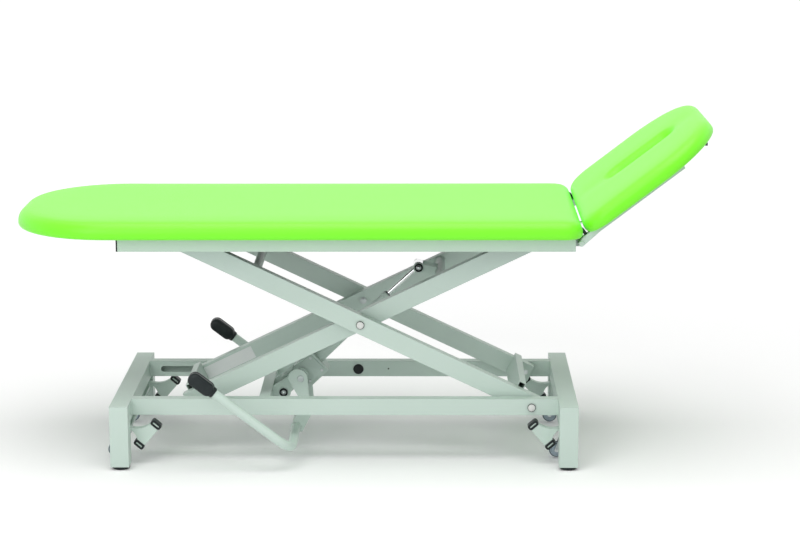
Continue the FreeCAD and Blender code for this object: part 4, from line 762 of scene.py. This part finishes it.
# Cylinder: a collar with a wiper ring at the barrel's end, side covers and screws on the pump block
pumpForm = {"end": 0.396, "collar": 0.0128, "length": 0.012, "wiper": 0.0086,
        "cover": (0.066, 0.127, -0.036, 0.026),
        "face": 0.033, "thick": 0.0026, "corner": 0.009, "screw": 0.0034}
alongCylinder = cylinderMatrix @ Matrix.Rotation(math.pi / 2, 4, "Y")
end, collar = pumpForm["end"], pumpForm["collar"]
barrelCollar = lathe("barrelCollar", [(0.0112, end - pumpForm["length"]),
        (collar - 0.0008, end - pumpForm["length"]),
        (collar, end - pumpForm["length"] + 0.001), (collar, end - 0.001), (collar - 0.001, end + 0.0004),
        (0.0066, end + 0.0004), (0.0066, end - 0.002), (0.0112, end - pumpForm["length"])], alongCylinder,
        castPaint)
fitted(barrelCollar, "pump")
wiper = lathe("rodWiper", [(0.0064, end), (pumpForm["wiper"], end), (pumpForm["wiper"], end + 0.0018),
        (0.0072, end + 0.0030), (0.0064, end + 0.0030), (0.0064, end)], alongCylinder, rubber)
fitted(wiper, "pump")
coverLow, coverHigh, coverFloor, coverTop = pumpForm["cover"]
for label, side in (("Near", -1), ("Far", 1)):
    loops = []
    lifted, half = (coverFloor + coverTop) / 2, (coverTop - coverFloor) / 2
    for inset, rise in ((0.0, 0.0), (0.0, 0.7), (0.0009, 1.0)):
        outline = plan(coverLow + inset, coverHigh - inset, half - inset, pumpForm["corner"],
                pumpForm["corner"], 6)
        loops.append(([(a, b + lifted) for a, b in outline], rise * pumpForm["thick"]))
    cover = stacked("pumpCover" + label, loops, castPaint)
    turn = Matrix(((1, 0, 0, 0), (0, 0, side, side * pumpForm["face"]), (0, 1, 0, 0), (0, 0, 0, 1)))
    cover.data.transform(cylinderMatrix @ turn)
    fixNormals(cover)
    fitted(cover, "pump")
    for number, (x, z) in enumerate(((coverLow + 0.008, coverFloor + 0.008),
            (coverHigh - 0.008, coverFloor + 0.008), (coverLow + 0.008, coverTop - 0.008),
            (coverHigh - 0.008, coverTop - 0.008))):
        place = cylinderMatrix @ Vector((x, side * (pumpForm["face"] + pumpForm["thick"]), z))
        screw = pumpForm["screw"]
        head = lathe(f"pumpScrew{label}{number}", [(0.0, 0.0), (screw, 0.0), (screw, 0.0018),
                (screw - 0.0005, 0.0026),
                (screw * 0.55, 0.0026), (screw * 0.5, 0.0012), (0.0, 0.0012)], outwards(place, side),
                zinc, 20)
        fitted(head, "pump")
print("pump details made")

# Grips on the foot bar: rubber pads with a groove all round and a sleeve where the bar enters
gripFacts = {"long": 0.078, "high": 0.038, "width": 0.038, "x": -0.377 - middle, "z": 0.245, "spread": 0.315,
        "root": (-0.140 - middle, 0.062), "sleeve": 0.036}
gripRun = Vector((gripFacts["x"] - gripFacts["root"][0], 0.0,
        gripFacts["z"] - gripFacts["root"][1])).normalized()
gripProfile = [(0.0110, 0.0), (0.0062, 0.0009), (0.0030, 0.0028), (0.0010, 0.0058), (0.0, 0.0096),
        (0.0, 0.0172), (0.0009, 0.0182), (0.0009, 0.0198), (0.0, 0.0208), (0.0, 0.0284), (0.0010, 0.0322),
        (0.0030, 0.0352), (0.0062, 0.0371), (0.0110, 0.0380)]
for label, side in (("Near", -1), ("Far", 1)):
    loops = []
    for inset, rise in gripProfile:
        half = gripFacts["high"] / 2 - inset
        reach = gripFacts["long"] / 2 - inset
        loops.append((plan(-reach, reach, half, half * 0.985, half * 0.985, 12),
                rise - gripFacts["width"] / 2))
    grip = stacked("pedalGrip" + label, loops, rubber)
    across = Vector((0.0, 1.0, 0.0))
    up = gripRun.cross(across)
    turn = Matrix((gripRun, up, gripRun.cross(up))).transposed().to_4x4()
    grip.data.transform(Matrix.Translation(Vector((gripFacts["x"], side * gripFacts["spread"],
            gripFacts["z"]))) @ turn)
    fixNormals(grip)
    fitted(grip, "foot_lever")
    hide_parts("pedal_pads")
    sleeveAt = Vector((gripFacts["x"], side * gripFacts["spread"],
            gripFacts["z"])) - gripRun * gripFacts["sleeve"]
    tilt = gripRun.to_track_quat("Z", "Y").to_matrix().to_4x4()
    sleeve = lathe("gripSleeve" + label, [(0.0130, -0.007), (0.0143, -0.0065), (0.0152, -0.002),
            (0.0154, 0.004), (0.0130, 0.004), (0.0130, -0.007)], Matrix.Translation(sleeveAt) @ tilt, rubber)
    fitted(sleeve, "foot_lever")
print("grips made")

# Castors: dished hub caps, axle bolts and a bearing race under each bar
castorFacts = {"face": 0.0069, "cap": 0.0145, "bolt": 0.0139, "race": 0.0130, "raceLow": 0.0833,
        "raceHigh": 0.0876}
for end, x in castorEnds:
    for label, y in castorSides:
        for face, side in (("Front", -1), ("Back", 1)):
            place = Vector((x - wheelTrail, y + side * castorFacts["face"], wheelHeight))
            cap = castorFacts["cap"]
            profile = [(0.0064, 0.0), (cap, 0.0), (cap, 0.0006), (cap - 0.0012, 0.0014),
                    (cap - 0.003, 0.0014),
                    (cap - 0.0045, 0.0008), (0.0092, 0.0010), (0.0080, 0.0016), (0.0064, 0.0016),
                    (0.0064, 0.0)]
            disc = lathe(f"hubCap{end}{label}{face}", profile, outwards(place, side), hub, 48)
            fitted(disc, f"{end}_{label}_wheel")
            boltPlace = Vector((x - wheelTrail, y + side * castorFacts["bolt"], wheelHeight))
            axle = lathe(f"axleBolt{end}{label}{face}",
                    [(0.0, 0.0), (0.0052, 0.0), (0.0052, 0.0018), (0.0046, 0.0026),
                    (0.0024, 0.0028), (0.0020, 0.0020), (0.0, 0.0020)], outwards(boltPlace, side), zinc, 24)
            fitted(axle, f"{end}_{label}_fork")
        low, high, race = castorFacts["raceLow"], castorFacts["raceHigh"], castorFacts["race"]
        ring = lathe(f"swivelRace{end}{label}", [(0.0104, low), (race, low), (race + 0.0012, low + 0.0009),
                (race + 0.0012, high - 0.0012), (race, high - 0.0004), (0.0104, high - 0.0004),
                (0.0104, low)], Matrix.Translation(Vector((x, y, 0.0))), zinc, 48)
        fitted(ring, f"{end}_{label}_fork")
print("castor details made")

# Pedal caps: a pale slot with a dark rim on both faces of each rubber cap
pedalFacts = {"shaftX": 0.612, "shaftZ": 0.110, "slope": math.atan2(0.055, 0.047), "high": (0.103, 0.002),
        "low": (0.056, -0.053),
        "face": 0.2246, "inner": 0.2476, "long": 0.0098, "half": 0.0017, "thick": 0.0006}
for end, way in (("foot", -1), ("head", 1)):
    for level in ("high", "low"):
        reachX, riseZ = pedalFacts[level]
        centre = Vector((way * (pedalFacts["shaftX"] - reachX) - middle, 0.0, pedalFacts["shaftZ"] + riseZ))
        turned = Matrix.Rotation(pedalFacts["slope"] * way, 4, "Y")
        for label, side in (("Near", -1), ("Far", 1)):
            for number, depth in enumerate((pedalFacts["face"], pedalFacts["inner"])):
                outwardWay = side if number == 1 else -side
                half = pedalFacts["half"]
                outline = plan(-half, half, pedalFacts["long"], half * 0.95, half * 0.95, 4)
                loops = [(outline, 0.0), (outline, pedalFacts["thick"])]
                strip = stacked(f"capSlot{end}{level}{label}{number}", loops, powder)
                turn = Matrix(((1, 0, 0, 0), (0, 0, outwardWay, 0), (0, 1, 0, 0), (0, 0, 0, 1)))
                strip.data.transform(Matrix.Translation(centre + Vector((0.0, side * depth,
                        0.0))) @ turned @ turn)
                fixNormals(strip)
                fitted(strip, f"{end}_pedals")
print("pedal slots made")

# Black rubber buffer posts between the two cushions, standing on the head section's bars; partly real, they
# also paint the shade in the gap between the cushions dark
gapShadeBufferFacts = {"along": 0.0240, "across": 0.268, "low": 0.0040, "high": 0.033, "radius": 0.0045}
for label, side in (("Near", -1), ("Far", 1)):
    low, high, radius = gapShadeBufferFacts["low"], gapShadeBufferFacts["high"], gapShadeBufferFacts["radius"]
    stand = headMatrix @ Matrix.Translation(Vector((gapShadeBufferFacts["along"], side * gapShadeBufferFacts["across"],
            0.0)))
    gapShadePost = lathe("gapShadeCushionBuffer" + label, [(0.0, low), (radius, low), (radius, high - 0.004),
            (radius * 0.85, high - 0.0015), (radius * 0.5, high), (0.0, high + 0.0003)], stand, rubber, 24)
    fitted(gapShadePost, "head_section")
print("gapShadeBuffers made")

# Weld beads where the side rails meet the end beams
weldFacts = {"x": 0.5775, "rail": (0.191, 0.221), "low": 0.133, "high": 0.176, "radius": 0.0016,
        "steps": 14, "ripple": 0.0004}
for end, way in (("Foot", -1), ("Head", 1)):
    for label, side in (("Near", -1), ("Far", 1)):
        for number, y in enumerate(weldFacts["rail"]):
            x = way * weldFacts["x"] - middle
            rise, ripple = (weldFacts["high"] - weldFacts["low"]) / weldFacts["steps"], weldFacts["ripple"]
            path = [Vector((x - way * ripple, side * y, weldFacts["low"] + rise * k + ripple * (k % 2)))
                    for k in range(weldFacts["steps"] + 1)]
            bead = sweep(f"railBead{end}{label}{number}", path, weldFacts["radius"], powder, 8)
            fitted(bead, "base_frame")
print("rail beads made")

# Castor tyres: a dark band with a crowned tread round each wheel
wheelFacts = {"radius": 0.021, "width": 0.018, "band": 0.0035}
for end, x in castorEnds:
    for label, y in castorSides:
        radius, half = wheelFacts["radius"], wheelFacts["width"] / 2
        profile = [(radius - wheelFacts["band"], -half - 0.0002), (radius - 0.0016, -half - 0.0002),
                (radius - 0.0002, -half + 0.002), (radius + 0.0003, -0.003), (radius + 0.0003, 0.003),
                (radius - 0.0002, half - 0.002), (radius - 0.0016, half + 0.0002),
                (radius - wheelFacts["band"], half + 0.0002), (radius - wheelFacts["band"], -half - 0.0002)]
        tyre = lathe(f"tyre{end}{label}", profile, outwards(Vector((x - wheelTrail, y, wheelHeight)), -1),
                tread, 64)
        fitted(tyre, f"{end}_{label}_wheel")
print("castor tyres made")

# Bare sticker on the far inner arm
labelFacts = {"low": 0.012, "high": 0.165, "half": 0.018, "face": 0.115, "thick": 0.0004}
corners = []
for depth in (labelFacts["face"], labelFacts["face"] - labelFacts["thick"]):
    for along, across in ((labelFacts["low"], -labelFacts["half"]),
            (labelFacts["high"], -labelFacts["half"]), (labelFacts["high"], labelFacts["half"]),
            (labelFacts["low"], labelFacts["half"])):
        corners.append(armUp @ Vector((along, depth, across)))
bareLabel = meshObject("armLabel", corners, [(0, 1, 2, 3), (4, 5, 6, 7), (0, 1, 5, 4), (1, 2, 6, 5),
        (2, 3, 7, 6), (3, 0, 4, 7)], sticker, smooth=False)
fitted(bareLabel, "inner_arms")
print("label made")


# Floor, light and surroundings
stageFacts = {"reach": 30.0, "fill": 0.60, "lift": (0.06, 0.46), "lifted": (1.3, 4.5),
        "lamps": (("topLight", (0.0, -0.6, 3.6), 3.4, 82.0), ("frontLight", (-2.2, -4.2, 2.6), 2.6, 56.0))}


def cameraShare(tree):
    rays = node(tree, "ShaderNodeLightPath")
    seen = node(tree, "ShaderNodeMath", {"operation": "MAXIMUM"},
            links={0: rays.outputs["Is Camera Ray"], 1: rays.outputs["Is Glossy Ray"]})
    return node(tree, "ShaderNodeMath", {"operation": "MAXIMUM"},
            links={0: seen.outputs["Value"], 1: rays.outputs["Is Transmission Ray"]})


def floorMaterial():
    material, tree, shader = newMaterial("paleStudioFloor")
    tone = groupNode(tree, toneGroup, {"Base": (0.95, 0.95, 0.95, 1.0), "Shade": (0.93, 0.93, 0.93, 1.0),
            "Scale": 0.7, "Amount": 0.5})
    place = node(tree, "ShaderNodeNewGeometry")
    far = node(tree, "ShaderNodeVectorMath", {"operation": "LENGTH"}, links={0: place.outputs["Position"]})
    lift = node(tree, "ShaderNodeMapRange", values={"From Min": stageFacts["lifted"][0],
            "From Max": stageFacts["lifted"][1],
            "To Min": stageFacts["lift"][0], "To Max": stageFacts["lift"][1]},
            links={"Value": far.outputs["Value"]})
    glow = node(tree, "ShaderNodeMath", {"operation": "MULTIPLY"},
            links={0: cameraShare(tree).outputs["Value"], 1: lift.outputs["Result"]})
    tree.links.new(tone.outputs["Color"], shader.inputs["Base Color"])
    tree.links.new(glow.outputs["Value"], shader.inputs["Emission Strength"])
    shader.inputs["Emission Color"].default_value = (1.0, 1.0, 1.0, 1.0)
    shader.inputs["Specular IOR Level"].default_value = 0.0
    shader.inputs["Roughness"].default_value = 0.9
    return material


def setStage():
    reach = stageFacts["reach"]
    floor = meshObject("paleFloor", [(-reach, -reach, 0.0), (reach, -reach, 0.0), (reach, reach, 0.0),
            (-reach, reach, 0.0)], [(0, 1, 2, 3)], floorMaterial(), smooth=False)
    world = bpy.data.worlds.new("paleRoom")
    world.use_nodes = True
    tree = world.node_tree
    sky = [n for n in tree.nodes if n.bl_idname == "ShaderNodeBackground"][0]
    sky.inputs["Color"].default_value = (1.0, 1.0, 1.0, 1.0)
    level = node(tree, "ShaderNodeMapRange", values={"To Min": stageFacts["fill"], "To Max": 1.0},
            links={"Value": cameraShare(tree).outputs["Value"]})
    tree.links.new(level.outputs["Result"], sky.inputs["Strength"])
    bpy.context.scene.world = world
    for name, place, size, power in stageFacts["lamps"]:
        lamp = bpy.data.lights.new(name, "AREA")
        lamp.size = size
        lamp.energy = power
        holder = bpy.data.objects.new(name, lamp)
        aimed = (Vector((0.0, 0.0, 0.4)) - Vector(place)).to_track_quat("-Z", "Y")
        holder.matrix_world = Matrix.Translation(Vector(place)) @ aimed.to_matrix().to_4x4()
        bpy.context.scene.collection.objects.link(holder)
    bpy.context.scene.view_settings.view_transform = "Standard"


setStage()
print("stage set")
